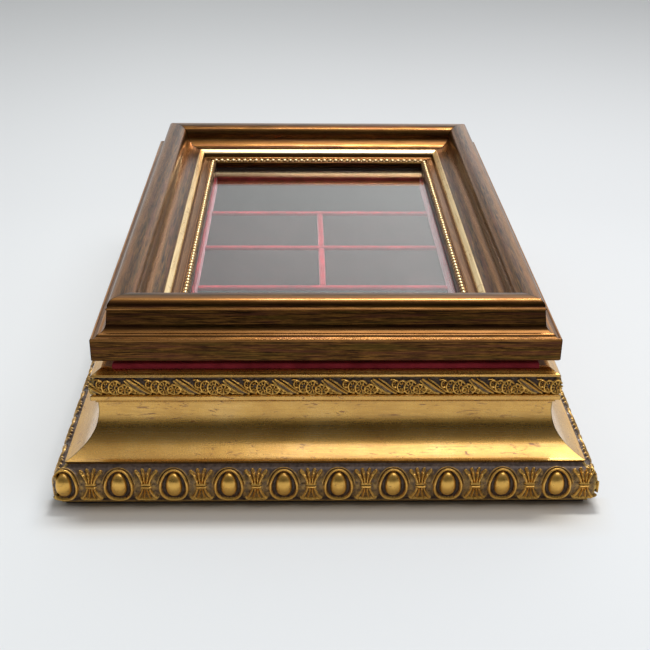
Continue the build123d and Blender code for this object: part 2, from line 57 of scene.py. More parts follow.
RAILS = {  # name: outward normal, run direction to the right seen from outside, half size, other half size
    "front": ((0, -1), (1, 0), LY, LX),
    "right": ((1, 0), (0, 1), LX, LY),
    "back": ((0, 1), (-1, 0), LY, LX),
    "left": ((-1, 0), (0, -1), LX, LY),
}


# ------------------------------------------------------------------- helpers
def new_object(name, verts, faces, mats, mat_index=None, sharp=38.0, attr=None):
    me = bpy.data.meshes.new(name)
    me.from_pydata([tuple(v) for v in (np.asarray(verts) * MM)], [], faces)
    for m in mats:
        me.materials.append(m)
    if mat_index is not None:
        me.polygons.foreach_set("material_index", np.asarray(mat_index, dtype=np.int32))
    if attr is not None:
        for key, val in attr.items():
            a = me.attributes.new(key, "FLOAT", "POINT")
            a.data.foreach_set("value", np.asarray(val, dtype=np.float32))
    bm = bmesh.new()
    bm.from_mesh(me)
    big = [f for f in bm.faces if len(f.verts) > 4]
    if big:
        bmesh.ops.triangulate(bm, faces=big)
    bmesh.ops.recalc_face_normals(bm, faces=bm.faces)
    lim = math.radians(sharp)
    for e in bm.edges:
        e.smooth = not (len(e.link_faces) == 2 and e.calc_face_angle(0.0) > lim)
    for f in bm.faces:
        f.smooth = True
    bm.to_mesh(me)
    bm.free()
    me.update()
    ob = bpy.data.objects.new(name, me)
    bpy.context.scene.collection.objects.link(ob)
    return ob


def arc3(a, b, c, n=12):
    """Points on the circle through a, b and c, from a to c."""
    ax, ay = a
    bx, by = b
    cx, cy = c
    d = 2 * (ax * (by - cy) + bx * (cy - ay) + cx * (ay - by))
    ux = ((ax * ax + ay * ay) * (by - cy) + (bx * bx + by * by) * (cy - ay) + (cx * cx + cy * cy) * (ay - by)) / d
    uy = ((ax * ax + ay * ay) * (cx - bx) + (bx * bx + by * by) * (ax - cx) + (cx * cx + cy * cy) * (bx - ax)) / d
    r = math.hypot(ax - ux, ay - uy)
    t0, t1, t2 = (math.atan2(p[1] - uy, p[0] - ux) for p in (a, b, c))
    ccw = ((t1 - t0) % (2 * math.pi)) < ((t2 - t0) % (2 * math.pi))
    span = (t2 - t0) % (2 * math.pi) if ccw else -((t0 - t2) % (2 * math.pi))
    return [(ux + r * math.cos(t0 + span * k / n), uy + r * math.sin(t0 + span * k / n)) for k in range(n + 1)]


def spline(pts, step):
    """A smooth curve through the points, sampled about every step."""
    p = np.array(pts, float)
    ext = np.vstack([2 * p[0] - p[1], p, 2 * p[-1] - p[-2]])
    out = []
    for i in range(1, len(ext) - 2):
        p0, p1, p2, p3 = ext[i - 1:i + 3]
        t = [0.0]
        for q, w in ((p0, p1), (p1, p2), (p2, p3)):
            t.append(t[-1] + max(1e-6, np.linalg.norm(w - q)) ** 0.5)
        for s in np.linspace(t[1], t[2], 24, endpoint=False):
            a1 = (t[1] - s) / (t[1] - t[0]) * p0 + (s - t[0]) / (t[1] - t[0]) * p1
            a2 = (t[2] - s) / (t[2] - t[1]) * p1 + (s - t[1]) / (t[2] - t[1]) * p2
            a3 = (t[3] - s) / (t[3] - t[2]) * p2 + (s - t[2]) / (t[3] - t[2]) * p3
            b1 = (t[2] - s) / (t[2] - t[0]) * a1 + (s - t[0]) / (t[2] - t[0]) * a2
            b2 = (t[3] - s) / (t[3] - t[1]) * a2 + (s - t[1]) / (t[3] - t[1]) * a3
            out.append((t[2] - s) / (t[2] - t[1]) * b1 + (s - t[1]) / (t[2] - t[1]) * b2)
    out.append(p[-1])
    out = np.array(out)
    d = np.concatenate([[0], np.cumsum(np.linalg.norm(np.diff(out, axis=0), axis=1))])
    n = max(2, int(round(d[-1] / step)))
    s = np.linspace(0, d[-1], n + 1)
    return np.stack([np.interp(s, d, out[:, 0]), np.interp(s, d, out[:, 1])], 1)


def rounded(pts, radii, n=4):
    """A polyline with its inner corners rounded; pts keep their order, ends stay."""
    p = [np.array(q, float) for q in pts]
    out = [p[0]]
    for i in range(1, len(p) - 1):
        r = radii[i]
        if r <= 0:
            out.append(p[i])
            continue
        a, b = p[i - 1] - p[i], p[i + 1] - p[i]
        la, lb = np.linalg.norm(a), np.linalg.norm(b)
        a, b = a / la, b / lb
        cosv = float(np.clip(a @ b, -1, 1))
        half = math.acos(cosv) / 2
        if half > math.pi / 2 - 0.02:
            out.append(p[i])
            continue
        t = min(r / math.tan(half), 0.45 * la, 0.45 * lb)
        rr = t * math.tan(half)
        s, e = p[i] + a * t, p[i] + b * t
        m = (a + b) / np.linalg.norm(a + b)
        c = p[i] + m * (rr / math.sin(half))
        v0, v1 = s - c, e - c
        ang = math.acos(float(np.clip((v0 @ v1) / (rr * rr), -1, 1)))
        sgn = 1.0 if v0[0] * v1[1] - v0[1] * v1[0] > 0 else -1.0
        for k in range(n + 1):
            q = sgn * ang * k / n
            out.append(c + np.array([v0[0] * math.cos(q) - v0[1] * math.sin(q), v0[0] * math.sin(q) + v0[1] * math.cos(q)]))
    out.append(p[-1])
    return [tuple(q) for q in out]


def ring_normals(ring):
    """Outward unit normals of a closed section, from its neighbours."""
    r = np.asarray(ring, float)
    t = np.roll(r, -1, 0) - np.roll(r, 1, 0)
    t /= np.maximum(1e-9, np.linalg.norm(t, axis=1))[:, None]
    nrm = np.stack([t[:, 1], -t[:, 0]], 1)
    area = 0.5 * np.sum(r[:, 0] * np.roll(r[:, 1], -1) - np.roll(r[:, 0], -1) * r[:, 1])
    return nrm if area > 0 else -nrm


def straight_rail(name, rail, ring, mats, seg_mat, step=9.0, wave=0.0, seed=0, rub=None):
    """A mitred rail of constant section. ring: (o, h) with o outward from the fascia line."""
    N, T, half, other = RAILS[rail]
    ring = np.asarray(ring, float)
    m = len(ring)
    inner = other + ring[:, 0].min() - 2.0
    cols = np.linspace(-inner, inner, max(2, int(2 * inner / step)))
    K = len(cols) + 2
    V = np.zeros((K, m, 3))
    nrm = ring_normals(ring)
    rng = np.random.RandomState(seed + 11)
    ph = rng.uniform(0, 6.28, 6)
    for k in range(K):
        if k == 0:
            l = -(other + ring[:, 0])
        elif k == K - 1:
            l = other + ring[:, 0]
        else:
            l = np.full(m, cols[k - 1])
        o, h = ring[:, 0], ring[:, 1]
        V[k, :, 0] = N[0] * (half + o) + T[0] * l
        V[k, :, 1] = N[1] * (half + o) + T[1] * l
        V[k, :, 2] = h
        if wave and 0 < k < K - 1:
            w = wave * (np.sin(l * 0.061 + ph[0] + h * 0.1) + 0.6 * np.sin(l * 0.023 + ph[1]) + 0.4 * np.sin(l * 0.17 + ph[2] + h * 0.3))
            V[k, :, 0] += N[0] * nrm[:, 0] * w
            V[k, :, 1] += N[1] * nrm[:, 0] * w
            V[k, :, 2] += nrm[:, 1] * w
    idx = np.arange(K * m).reshape(K, m)
    faces, mi = [], []
    for k in range(K - 1):
        for i in range(m):
            j = (i + 1) % m
            faces.append((int(idx[k, i]), int(idx[k, j]), int(idx[k + 1, j]), int(idx[k + 1, i])))
            mi.append(seg_mat[i])
    # the two mitre faces are cut wood
    faces.append(tuple(int(q) for q in idx[0]))
    faces.append(tuple(int(q) for q in idx[K - 1][::-1]))
    end = len(mats) - 1
    mi += [end, end]
    me_faces = faces
    attr = None if rub is None else {"rub": np.tile(np.asarray(rub, float), K)}
    return new_object(name, V.reshape(-1, 3), me_faces, mats, mi, attr=attr)


def carved_strip(name, rail, top, relief, mats, depth, pitch_step, phase_from_left):
    """A carved band: top is the envelope curve (o, h); relief(l, v) gives height below it and gilding."""
    N, T, half, other = RAILS[rail]
    top = np.asarray(top, float)
    d = np.concatenate([[0], np.cumsum(np.linalg.norm(np.diff(top, axis=0), axis=1))])
    t = np.gradient(top, axis=0)
    t /= np.linalg.norm(t, axis=1)[:, None]
    nr = np.stack([t[:, 1], -t[:, 0]], 1)
    if nr[len(nr) // 2, 0] < 0:
        nr = -nr
    back = (top - nr * depth)[::-1]
    nb = 6
    bi = np.linspace(0, len(back) - 1, nb).round().astype(int)
    back = back[bi]
    m, mt = len(top) + nb, len(top)
    Lmax = other + top[:, 0].max() + 0.5
    n = int(math.ceil(2 * Lmax / pitch_step))
    cols = np.linspace(-Lmax, Lmax, n + 1)
    K = len(cols)
    left = -(other + top[:, 0].max())
    ll, vv = np.meshgrid(cols - left, d, indexing="ij")
    h, g = relief(ll.ravel(), vv.ravel(), phase_from_left)
    h, g = h.reshape(K, mt), g.reshape(K, mt)
    O = np.zeros((K, m))
    H = np.zeros((K, m))
    O[:, :mt] = top[None, :, 0] + nr[None, :, 0] * h
    H[:, :mt] = top[None, :, 1] + nr[None, :, 1] * h
    O[:, mt:] = back[None, :, 0]
    H[:, mt:] = back[None, :, 1]
    G = np.zeros((K, m))
    # the bands on the long left and right sides keep only 0.46 of the gilding: painted shade that darkens the sides
    # seen edge-on
    G[:, :mt] = g * (0.46 if rail in ("left", "right") else 1.0)
    end = other + O
    L = np.repeat(cols[:, None], m, 1)
    hi = L >= end
    lo = L <= -end
    L = np.where(hi, end, np.where(lo, -end, L))
    # one vertex stands for all clamped columns of a section point
    ids = np.arange(K * m).reshape(K, m).copy()
    for i in range(m):
        kh = np.nonzero(hi[:, i])[0]
        kl = np.nonzero(lo[:, i])[0]
        if len(kh):
            ids[kh, i] = ids[kh[0], i]
            O[kh, i] = O[kh[0], i]
            H[kh, i] = H[kh[0], i]
        if len(kl):
            ids[kl, i] = ids[kl[-1], i]
    L = np.where(hi, other + O, np.where(lo, -(other + O), L))
    for i in range(m):
        kl = np.nonzero(lo[:, i])[0]
        if len(kl):
            O[kl, i] = O[kl[-1], i]
            H[kl, i] = H[kl[-1], i]
            L[kl, i] = -(other + O[kl[-1], i])
    P = np.stack([N[0] * (half + O) + T[0] * L, N[1] * (half + O) + T[1] * L, H], -1).reshape(-1, 3)
    a, b = ids[:-1], ids[1:]
    quads = np.stack([a, np.roll(a, -1, 1), np.roll(b, -1, 1), b], -1).reshape(-1, 4)
    faces = []
    for q in quads.tolist():
        u = []
        for x in q:
            if x not in u:
                u.append(x)
        if len(u) >= 3:
            faces.append(tuple(u))
    faces.append(tuple(ids[0].tolist()))
    faces.append(tuple(ids[-1][::-1].tolist()))
    used = np.unique(np.concatenate([np.array(f) for f in (faces[-2], faces[-1])] + [quads.ravel()]))
    remap = -np.ones(K * m, int)
    remap[used] = np.arange(len(used))
    faces = [tuple(int(remap[x]) for x in f) for f in faces]
    return new_object(name, P[used], faces, mats, sharp=75.0, attr={"gilding": G.reshape(-1)[used]})


# ------------------------------------------------------------- carved relief
def seg_d(x, y, a, b):
    ax, ay = a
    dx, dy = b[0] - ax, b[1] - ay
    t = np.clip(((x - ax) * dx + (y - ay) * dy) / (dx * dx + dy * dy), 0, 1)
    return np.hypot(x - ax - t * dx, y - ay - t * dy), t


def poly_d(x, y, pts):
    return np.min([seg_d(x, y, pts[i], pts[i + 1])[0] for i in range(len(pts) - 1)], axis=0)


def tear_d(x, y, pts, radii):
    """Signed distance to a chain of tapered capsules."""
    best = None
    for i in range(len(pts) - 1):
        dd, t = seg_d(x, y, pts[i], pts[i + 1])
        s = dd - (radii[i] + (radii[i + 1] - radii[i]) * t)
        best = s if best is None else np.minimum(best, s)
    return best


def dome(d, r):
    return np.sqrt(np.clip(1 - (d / r) ** 2, 0, 1))


EGG_PITCH = 27.30
EGG_V = 13.3


def club_d(x, y, pts, radii):
    """Distance to a chain of tapered strokes, as a share of the local half width."""
    best = None
    for i in range(len(pts) - 1):
        dd, t = seg_d(x, y, pts[i], pts[i + 1])
        s = dd / (radii[i] + (radii[i + 1] - radii[i]) * t)
        best = s if best is None else np.minimum(best, s)
    return best


def egg_relief(l, v, phase):
    x = (l - phase + EGG_PITCH / 2) % EGG_PITCH - EGG_PITCH / 2
    y = v - EGG_V
    h = np.full_like(x, -1.70)
    g = np.full_like(x, 0.16)
    # the ground rises to a rounded edge along the foot and under the cove
    h += 0.55 * np.clip(1 - v / 1.6, 0, 1) + 0.5 * np.clip((v - 24.9) / 1.6, 0, 1)
    # fine stipple on the ground
    sx, sy = 0.78, 0.74
    row = np.floor(v / sy)
    px = ((l / sx + 0.5 * (row % 2)) % 1.0 - 0.5) * sx
    py = (v / sy - row - 0.5) * sy
    st = dome(np.hypot(px, py), 0.37)
    near = np.clip((np.abs(x) - 6.6) / 0.8, 0, 1) * np.clip((10.2 - np.abs(y + 0.6)) / 2.0, 0, 1)
    h += 0.34 * st * near
    g += 0.26 * st * near
    # recess and ring round the egg
    ty = y / 9.2
    a, b = 6.65 * (1 - 0.06 * ty), 9.45
    q = np.hypot(x / a, y / b)
    gx = np.hypot(x / a ** 2, y / b ** 2) / np.maximum(q, 1e-6)
    dist = (q - 1) / np.maximum(gx, 0.02)
    bowl = np.clip(-dist / 1.5, 0, 1)
    inside = dist < 0
    h = np.where(inside, -0.5 - 2.3 * bowl ** 0.75, h)
    g = np.where(inside, 0.30 * (1 - bowl) ** 2, g)
    ring = dome(dist, 0.70)
    rh = -1.9 + 1.80 * ring ** 0.7
    use = (np.abs(dist) < 0.70) & (rh > h)
    h = np.where(use, rh, h)
    g = np.where(np.abs(dist) < 0.70, np.maximum(g, np.clip((ring - 0.30) / 0.30, 0, 1)), g)
    # a fainter hood line outside the ring's upper half
    hood = dome(dist - 1.55, 0.55) * np.clip((y + 2.0) / 4.0, 0, 1)
    h = np.maximum(h, np.where(hood > 0, -1.7 + 0.75 * hood, h))
    g = np.maximum(g, np.clip((hood - 0.5) / 0.5, 0, 1) * 0.42)
    # the egg
    te = (y - 0.55) / 8.05
    qe = (x / (4.05 * (1 - 0.15 * te))) ** 2 + te ** 2
    e = np.sqrt(np.clip(1 - qe, 0, 1))
    eh = -2.7 + 2.68 * e ** 0.85
    on = qe < 1
    h = np.where(on, np.maximum(eh, h), h)
    g = np.where(on, np.clip(0.15 + 2.4 * e, 0, 1), g)
    # palmette midway between the eggs, tied by two bars
    xp = np.where(x > 0, x - EGG_PITCH / 2, x + EGG_PITCH / 2)
    ax_ = np.abs(xp)
    for pts, rad, top in (
        ([(1.65, 15.2), (2.15, 17.4), (3.25, 19.7), (4.55, 21.7), (4.95, 22.4)], [0.50, 0.62, 0.80, 1.00, 0.92], -0.06),
        ([(0.58, 15.2), (0.82, 18.2), (1.25, 21.0), (1.80, 23.2)], [0.42, 0.54, 0.66, 0.84], -0.10),
        ([(1.60, 12.5), (2.35, 10.2), (3.45, 7.6), (4.55, 5.7)], [0.42, 0.46, 0.52, 0.56], -0.08),
        ([(0.55, 12.5), (0.80, 9.6), (1.45, 6.2)], [0.38, 0.42, 0.50], -0.14),
        ([(5.25, 5.7), (4.7, 4.7), (3.7, 4.5), (2.9, 5.1), (2.0, 4.5), (0.9, 4.1), (0.0, 4.6)], [0.44] * 7, -0.16),
    ):
        c = club_d(ax_, v, pts, [0.86 * q_ for q_ in rad])
        r_ = dome(c, 1.0)
        h = np.maximum(h, np.where(r_ > 0, -1.7 + (top + 1.7) * r_ ** 0.4, h))
        g = np.maximum(g, np.clip((r_ - 0.18) / 0.25, 0, 1))
    # a sunk vein in each club end
    for pts in ([(3.3, 20.1), (4.55, 21.9)], [(1.30, 21.0), (1.75, 22.8)]):
        vein = dome(poly_d(ax_, v, pts), 0.30)
        h -= 0.55 * vein
        g = np.where(vein > 0.3, g * 0.35, g)
    for yy in (13.05, 14.75):
        c = poly_d(xp, v, [(-2.05, yy), (2.05, yy)])
        r_ = dome(c, 0.62)
        h = np.maximum(h, np.where(r_ > 0, -1.6 + 1.56 * r_, h))
        g = np.maximum(g, np.clip((r_ - 0.25) / 0.35, 0, 1))
    gap = (np.abs(v - 13.9) < 0.30) & (ax_ < 2.4)
    h = np.where(gap, -1.35, h)
    g = np.where(gap, 0.0, g)
    # plain lip along the foot
    lip = dome(v - 1.0, 0.6)
    h = np.maximum(h, np.where(lip > 0, -1.3 + 1.05 * lip, h))
    g = np.maximum(g, 0.36 * np.clip((lip - 0.3) / 0.5, 0, 1))
    return np.clip(h, -2.9, -0.02), np.clip(g, 0, 1)


SCROLL_PITCH = 24.3


def arc_pts(cx, cy, rx, ry, a0, a1, n=9):
    return [(cx + rx * math.cos(math.radians(a0 + (a1 - a0) * k / n)), cy + ry * math.sin(math.radians(a0 + (a1 - a0) * k / n)))
            for k in range(n + 1)]


def scroll_relief(l, v, phase):
    h = np.full_like(l, -1.40)
    g = np.full_like(l, 0.04)
    xm = (l - phase) % SCROLL_PITCH

    def stroke(c, top, gg, floor=-1.3, crisp=0.28):
        nonlocal h, g
        r_ = dome(c, 1.0)
        h = np.maximum(h, np.where(r_ > 0, floor + (top - floor) * r_ ** 0.75, h))
        g = np.maximum(g, gg * np.clip((r_ - crisp) / 0.30, 0, 1))

    for shift in (-SCROLL_PITCH, 0.0):
        x = xm + shift  # 0 is the middle of the rosette
        # leaf across the band: three bright ribs with a sunk body between them
        leaf = club_d(x, v, [(0.9, 8.7), (4.6, 5.6), (8.3, 2.3), (11.0, 0.2)], [0.9, 1.25, 1.2, 0.9])
        b = np.clip(1 - leaf, 0, 1)
        h = np.maximum(h, np.where(leaf < 1, -1.15 + 0.45 * b ** 0.5, h))
        g = np.maximum(g, np.where(leaf < 1, 0.12 + 0.16 * b, g))
        stroke(club_d(x, v, [(-0.1, 8.3), (3.7, 4.5), (7.0, 1.6), (9.6, 0.2)], [0.42, 0.50, 0.46, 0.34]), -0.08, 0.95)
        stroke(club_d(x, v, [(1.2, 9.1), (5.7, 6.1), (9.5, 2.9), (12.6, 0.5)], [0.48, 0.56, 0.54, 0.40]), -0.02, 1.0)
        stroke(club_d(x, v, [(3.9, 9.3), (7.5, 6.9), (10.3, 4.4), (13.2, 2.1), (16.3, 0.4)], [0.32, 0.40, 0.42, 0.40, 0.30]), -0.12, 0.9)
        # three curls growing to the right, each with a row of small cells
        for cx, cy, rx, ry, a0, a1, w, top in ((-12.3, 6.5, 1.55, 1.95, 48, 312, 0.42, -0.10), (-8.9, 5.0, 2.35, 3.30, 52, 300, 0.46, -0.06),
                                               (-4.7, 4.3, 3.15, 4.05, 40, 300, 0.52, 0.0)):
            stroke(poly_d(x, v, arc_pts(cx, cy, rx, ry, a0, a1, 14)) / w, top, 1.0)
        for cx, cy, rx, ry, k0, k1, nn, w in ((-4.6, 4.3, 2.35, 3.15, 70, 285, 7, 0.44), (-8.8, 5.0, 1.50, 2.35, 85, 270, 5, 0.38), (-12.2, 6.5, 0.80, 1.10, 100, 260, 3, 0.30)):
            for k in range(nn):
                a = math.radians(k0 + (k1 - k0) * k / (nn - 1))
                p0 = (cx + rx * math.cos(a), cy + ry * math.sin(a))
                p1 = (cx + 0.66 * rx * math.cos(a), cy + 0.66 * ry * math.sin(a))
                stroke(seg_d(x, v, p0, p1)[0] / w, -0.40, 0.75)
        stroke(poly_d(x, v, arc_pts(-3.9, 4.3, 0.95, 1.5, 60, 300, 8)) / 0.34, -0.30, 0.8)
        # rosette: scalloped rim, petals round a sunk eye, and a small leaf loop beside it
        ang = np.arctan2(v - 3.35, x)
        rim = np.hypot(x / 3.15, (v - 3.35) / 2.85) - 0.045 * np.cos(7 * ang)
        stroke(np.abs(rim - 1.0) * 3.0 / 0.50, 0.0, 1.0)
        for k in range(7):
            a = math.radians(12 + 360 / 7 * k)
            p0 = (2.35 * math.cos(a), 3.35 + 2.1 * math.sin(a))
            p1 = (1.25 * math.cos(a), 3.35 + 1.1 * math.sin(a))
            stroke(seg_d(x, v, p0, p1)[0] / 0.46, -0.22, 0.9)
        stroke(np.hypot(x, v - 3.35) / 0.62, -0.35, 0.7)
        stroke(poly_d(x, v, arc_pts(4.15, 2.75, 1.35, 1.30, -150, 150, 12)) / 0.36, -0.10, 0.95)
        stroke(club_d(x, v, [(3.0, 2.3), (4.1, 3.0), (5.0, 2.5)], [0.30, 0.34, 0.26]), -0.35, 0.75)
        stroke(club_d(x, v, [(4.2, 0.9), (6.0, 1.0), (7.7, 0.6)], [0.42, 0.46, 0.24]), -0.12, 0.9)
        # short blades under the curls
        for a_, b_ in (((-13.4, 3.9), (-11.0, 2.3)), ((-11.6, 2.1), (-9.3, 0.8)), ((-7.0, 1.0), (-5.4, 0.3)), ((-14.6, 8.9), (-12.6, 9.0))):
            stroke(club_d(x, v, [a_, b_], [0.42, 0.28]), -0.30, 0.75)
    # a narrow sunk line along the top edge
    h = np.where(v > 9.75, -1.1, h)
    g = np.where(v > 9.75, 0.05, g)
    h = h + 0.05 * np.sin(l * 5.1 + 1.3 * np.sin(v * 3.7)) * np.sin(v * 4.3 + 0.7 * np.sin(l * 2.9))
    return np.clip(h, -1.5, -0.01), np.clip(g, 0, 1)


def mat(name):
    m = bpy.data.materials.new(name)
    m.use_nodes = True
    nt = m.node_tree
    nt.nodes.clear()
    out = nt.nodes.new("ShaderNodeOutputMaterial")
    bs = nt.nodes.new("ShaderNodeBsdfPrincipled")
    nt.links.new(bs.outputs[0], out.inputs[0])
    return m, nt, bs


def N(nt, kind, **kw):
    n = nt.nodes.new(kind)
    for k, v in kw.items():
        if k.startswith("i_"):
            key = k[2:]
            key = int(key) if key.isdigit() else key.replace("_", " ")
            n.inputs[key].default_value = v
        else:
            setattr(n, k, v)
    return n


def ramp(nt, fac, stops, interp="LINEAR"):
    r = nt.nodes.new("ShaderNodeValToRGB")
    r.color_ramp.interpolation = interp
    el = r.color_ramp.elements
    while len(el) > 1:
        el.remove(el[-1])
    el[0].position, el[0].color = stops[0][0], (*stops[0][1], 1) if len(stops[0][1]) == 3 else stops[0][1]
    for p, c in stops[1:]:
        e = el.new(p)
        e.color = (*c, 1) if len(c) == 3 else c
    nt.links.new(fac, r.inputs[0])
    return r


def grey(a):
    return (a, a, a)


def coords(nt, scale, rot=(0, 0, 0)):
    tc = nt.nodes.new("ShaderNodeTexCoord")
    mp = nt.nodes.new("ShaderNodeMapping")
    mp.inputs["Scale"].default_value = scale
    mp.inputs["Rotation"].default_value = rot
    nt.links.new(tc.outputs["Object"], mp.inputs[0])
    return mp.outputs[0]


def noise(nt, vec, scale, detail=4.0, rough=0.55, dist=0.0):
    n = nt.nodes.new("ShaderNodeTexNoise")
    n.inputs["Scale"].default_value = scale
    n.inputs["Detail"].default_value = detail
    n.inputs["Roughness"].default_value = rough
    n.inputs["Distortion"].default_value = dist
    nt.links.new(vec, n.inputs["Vector"])
    return n.outputs[0]


def mixc(nt, fac, a, b, mode="MIX"):
    m = nt.nodes.new("ShaderNodeMix")
    m.data_type = "RGBA"
    m.blend_type = mode
    for s, v in ((0, fac), (6, a), (7, b)):
        if isinstance(v, bpy.types.NodeSocket):
            nt.links.new(v, m.inputs[s])
        elif s == 0:
            m.inputs[s].default_value = v
        else:
            m.inputs[s].default_value = (*v, 1) if len(v) == 3 else v
    return m.outputs[2]


def math_(nt, op, a, b=None, clamp=False):
    m = nt.nodes.new("ShaderNodeMath")
    m.operation = op
    m.use_clamp = clamp
    for s, v in ((0, a), (1, b)):
        if v is None:
            continue
        if isinstance(v, bpy.types.NodeSocket):
            nt.links.new(v, m.inputs[s])
        else:
            m.inputs[s].default_value = v
    return m.outputs[0]


def maprange(nt, v, a, b, c, d):
    m = nt.nodes.new("ShaderNodeMapRange")
    nt.links.new(v, m.inputs[0])
    for i, q in ((1, a), (2, b), (3, c), (4, d)):
        m.inputs[i].default_value = q
    return m.outputs[0]


def bump(nt, bs, height, strength, distance):
    b = nt.nodes.new("ShaderNodeBump")
    b.inputs["Strength"].default_value = strength
    b.inputs["Distance"].default_value = distance
    nt.links.new(height, b.inputs["Height"])
    nt.links.new(b.outputs[0], bs.inputs["Normal"])
    return b


def along(axis, fine, long_):
    """Texture scale that stretches a pattern along a rail's axis."""
    return (long_, fine, fine) if axis == "x" else (fine, long_, fine)


def seam(nt, half_x, half_y, width):
    """1 at the mitre joints of a frame whose corner line passes through (half_x, half_y), 0 away from them. Metres."""
    tc = nt.nodes.new("ShaderNodeTexCoord")
    sp = nt.nodes.new("ShaderNodeSeparateXYZ")
    nt.links.new(tc.outputs["Object"], sp.inputs[0])
    ax = math_(nt, "ABSOLUTE", sp.outputs[0])
    ay = math_(nt, "ABSOLUTE", sp.outputs[1])
    d = math_(nt, "SUBTRACT", math_(nt, "SUBTRACT", ax, half_x), math_(nt, "SUBTRACT", ay, half_y))
    d = math_(nt, "ABSOLUTE", d)
    return maprange(nt, d, 0.0, width, 1.0, 0.0)


def gilt_material(name, axis, carved=False):
    """Gold leaf over red bole, rubbed, with fine streaks along the rail; carved bands keep dark umber in the hollows."""
    m, nt, bs = mat(name)
    v_long = coords(nt, along(axis, 1.0, 0.05))
    v_iso = coords(nt, (1, 1, 1))
    streak = noise(nt, v_long, 1100.0, 5.0, 0.65)
    cloud = noise(nt, v_iso, 42.0, 5.0, 0.62)
    fine = noise(nt, v_iso, 1500.0, 3.0, 0.6)
    gold = ramp(nt, cloud, [(0.30, (0.61, 0.322, 0.060)), (0.52, (0.71, 0.400, 0.085)), (0.72, (0.78, 0.465, 0.130))]).outputs[0]
    gold = mixc(nt, maprange(nt, streak, 0.45, 0.75, 0.0, 0.45), gold, (0.46, 0.23, 0.045))
    # bole showing through in small specks, scratches and short dashes
    speck_a = noise(nt, coords(nt, along(axis, 1.0, 0.30)), 420.0, 4.0, 0.75, 0.9)
    speck_b = noise(nt, v_iso, 75.0, 3.0, 0.6)
    speck_c = noise(nt, coords(nt, along(axis, 1.0, 0.12), (0, 0, 0.25)), 700.0, 2.0, 0.5, 1.5)
    sp = math_(nt, "MULTIPLY", maprange(nt, speck_a, 0.575, 0.64, 0.0, 1.0), maprange(nt, speck_b, 0.46, 0.60, 0.0, 1.0), True)
    sc_ = math_(nt, "MULTIPLY", maprange(nt, speck_c, 0.66, 0.70, 0.0, 1.0), maprange(nt, speck_b, 0.40, 0.50, 0.0, 1.0), True)
    sp = math_(nt, "MAXIMUM", sp, math_(nt, "MULTIPLY", sc_, 0.8))
    col = mixc(nt, math_(nt, "MULTIPLY", sp, 0.72), gold, (0.24, 0.070, 0.016))
    rough = maprange(nt, math_(nt, "ADD", math_(nt, "MULTIPLY", streak, 0.6), math_(nt, "MULTIPLY", fine, 0.4)), 0.3, 0.7, 0.21, 0.36)
    metal_v = math_(nt, "SUBTRACT", 1.0, math_(nt, "MULTIPLY", sp, 0.5), True)
    if carved:
        at = nt.nodes.new("ShaderNodeAttribute")
        at.attribute_name = "gilding"
        g = math_(nt, "ADD", at.outputs["Fac"], math_(nt, "MULTIPLY", math_(nt, "SUBTRACT", noise(nt, v_iso, 480.0, 4.0, 0.7), 0.5), 0.34))
        g = maprange(nt, g, 0.20, 0.55, 0.0, 1.0)
        wear = seam(nt, LX * MM, LY * MM, 0.0016)
        wear = math_(nt, "MULTIPLY", wear, maprange(nt, noise(nt, v_iso, 300.0, 3.0, 0.6), 0.35, 0.55, 0.2, 1.0), True)
        g = math_(nt, "MAXIMUM", g, wear)
        umber = ramp(nt, noise(nt, v_iso, 650.0, 4.0, 0.6), [(0.32, (0.046, 0.027, 0.018)), (0.70, (0.165, 0.108, 0.075))]).outputs[0]
        bright = mixc(nt, cloud, (0.82, 0.45, 0.085), (0.97, 0.60, 0.15))
        col = mixc(nt, g, umber, mixc(nt, math_(nt, "MULTIPLY", math_(nt, "SUBTRACT", 1.0, sp, True), 0.75), col, bright))
        col = mixc(nt, math_(nt, "MULTIPLY", wear, 0.6), col, (0.62, 0.47, 0.15))
        rough = math_(nt, "ADD", math_(nt, "MULTIPLY", math_(nt, "ADD", rough, 0.03), g), math_(nt, "MULTIPLY", math_(nt, "SUBTRACT", 1.0, g), 0.50))
        metal_v = math_(nt, "MULTIPLY", metal_v, maprange(nt, g, 0.0, 1.0, 0.30, 0.88))
    else:
        sm = seam(nt, LX * MM, LY * MM, 0.0007)
        col = mixc(nt, math_(nt, "MULTIPLY", sm, 0.85), col, (0.17, 0.125, 0.028))
    nt.links.new(col, bs.inputs["Base Color"])
    nt.links.new(metal_v, bs.inputs["Metallic"])
    nt.links.new(rough, bs.inputs["Roughness"])
    bs.inputs["Coat Weight"].default_value = 0.15 if carved else 0.95
    bs.inputs["Coat Roughness"].default_value = 0.16
    hgt = math_(nt, "ADD", math_(nt, "MULTIPLY", streak, 0.7), math_(nt, "MULTIPLY", fine, 0.5))
    hgt = math_(nt, "SUBTRACT", hgt, math_(nt, "MULTIPLY", sp, 0.6))
    bump(nt, bs, hgt, 0.22, 0.00012)
    return m


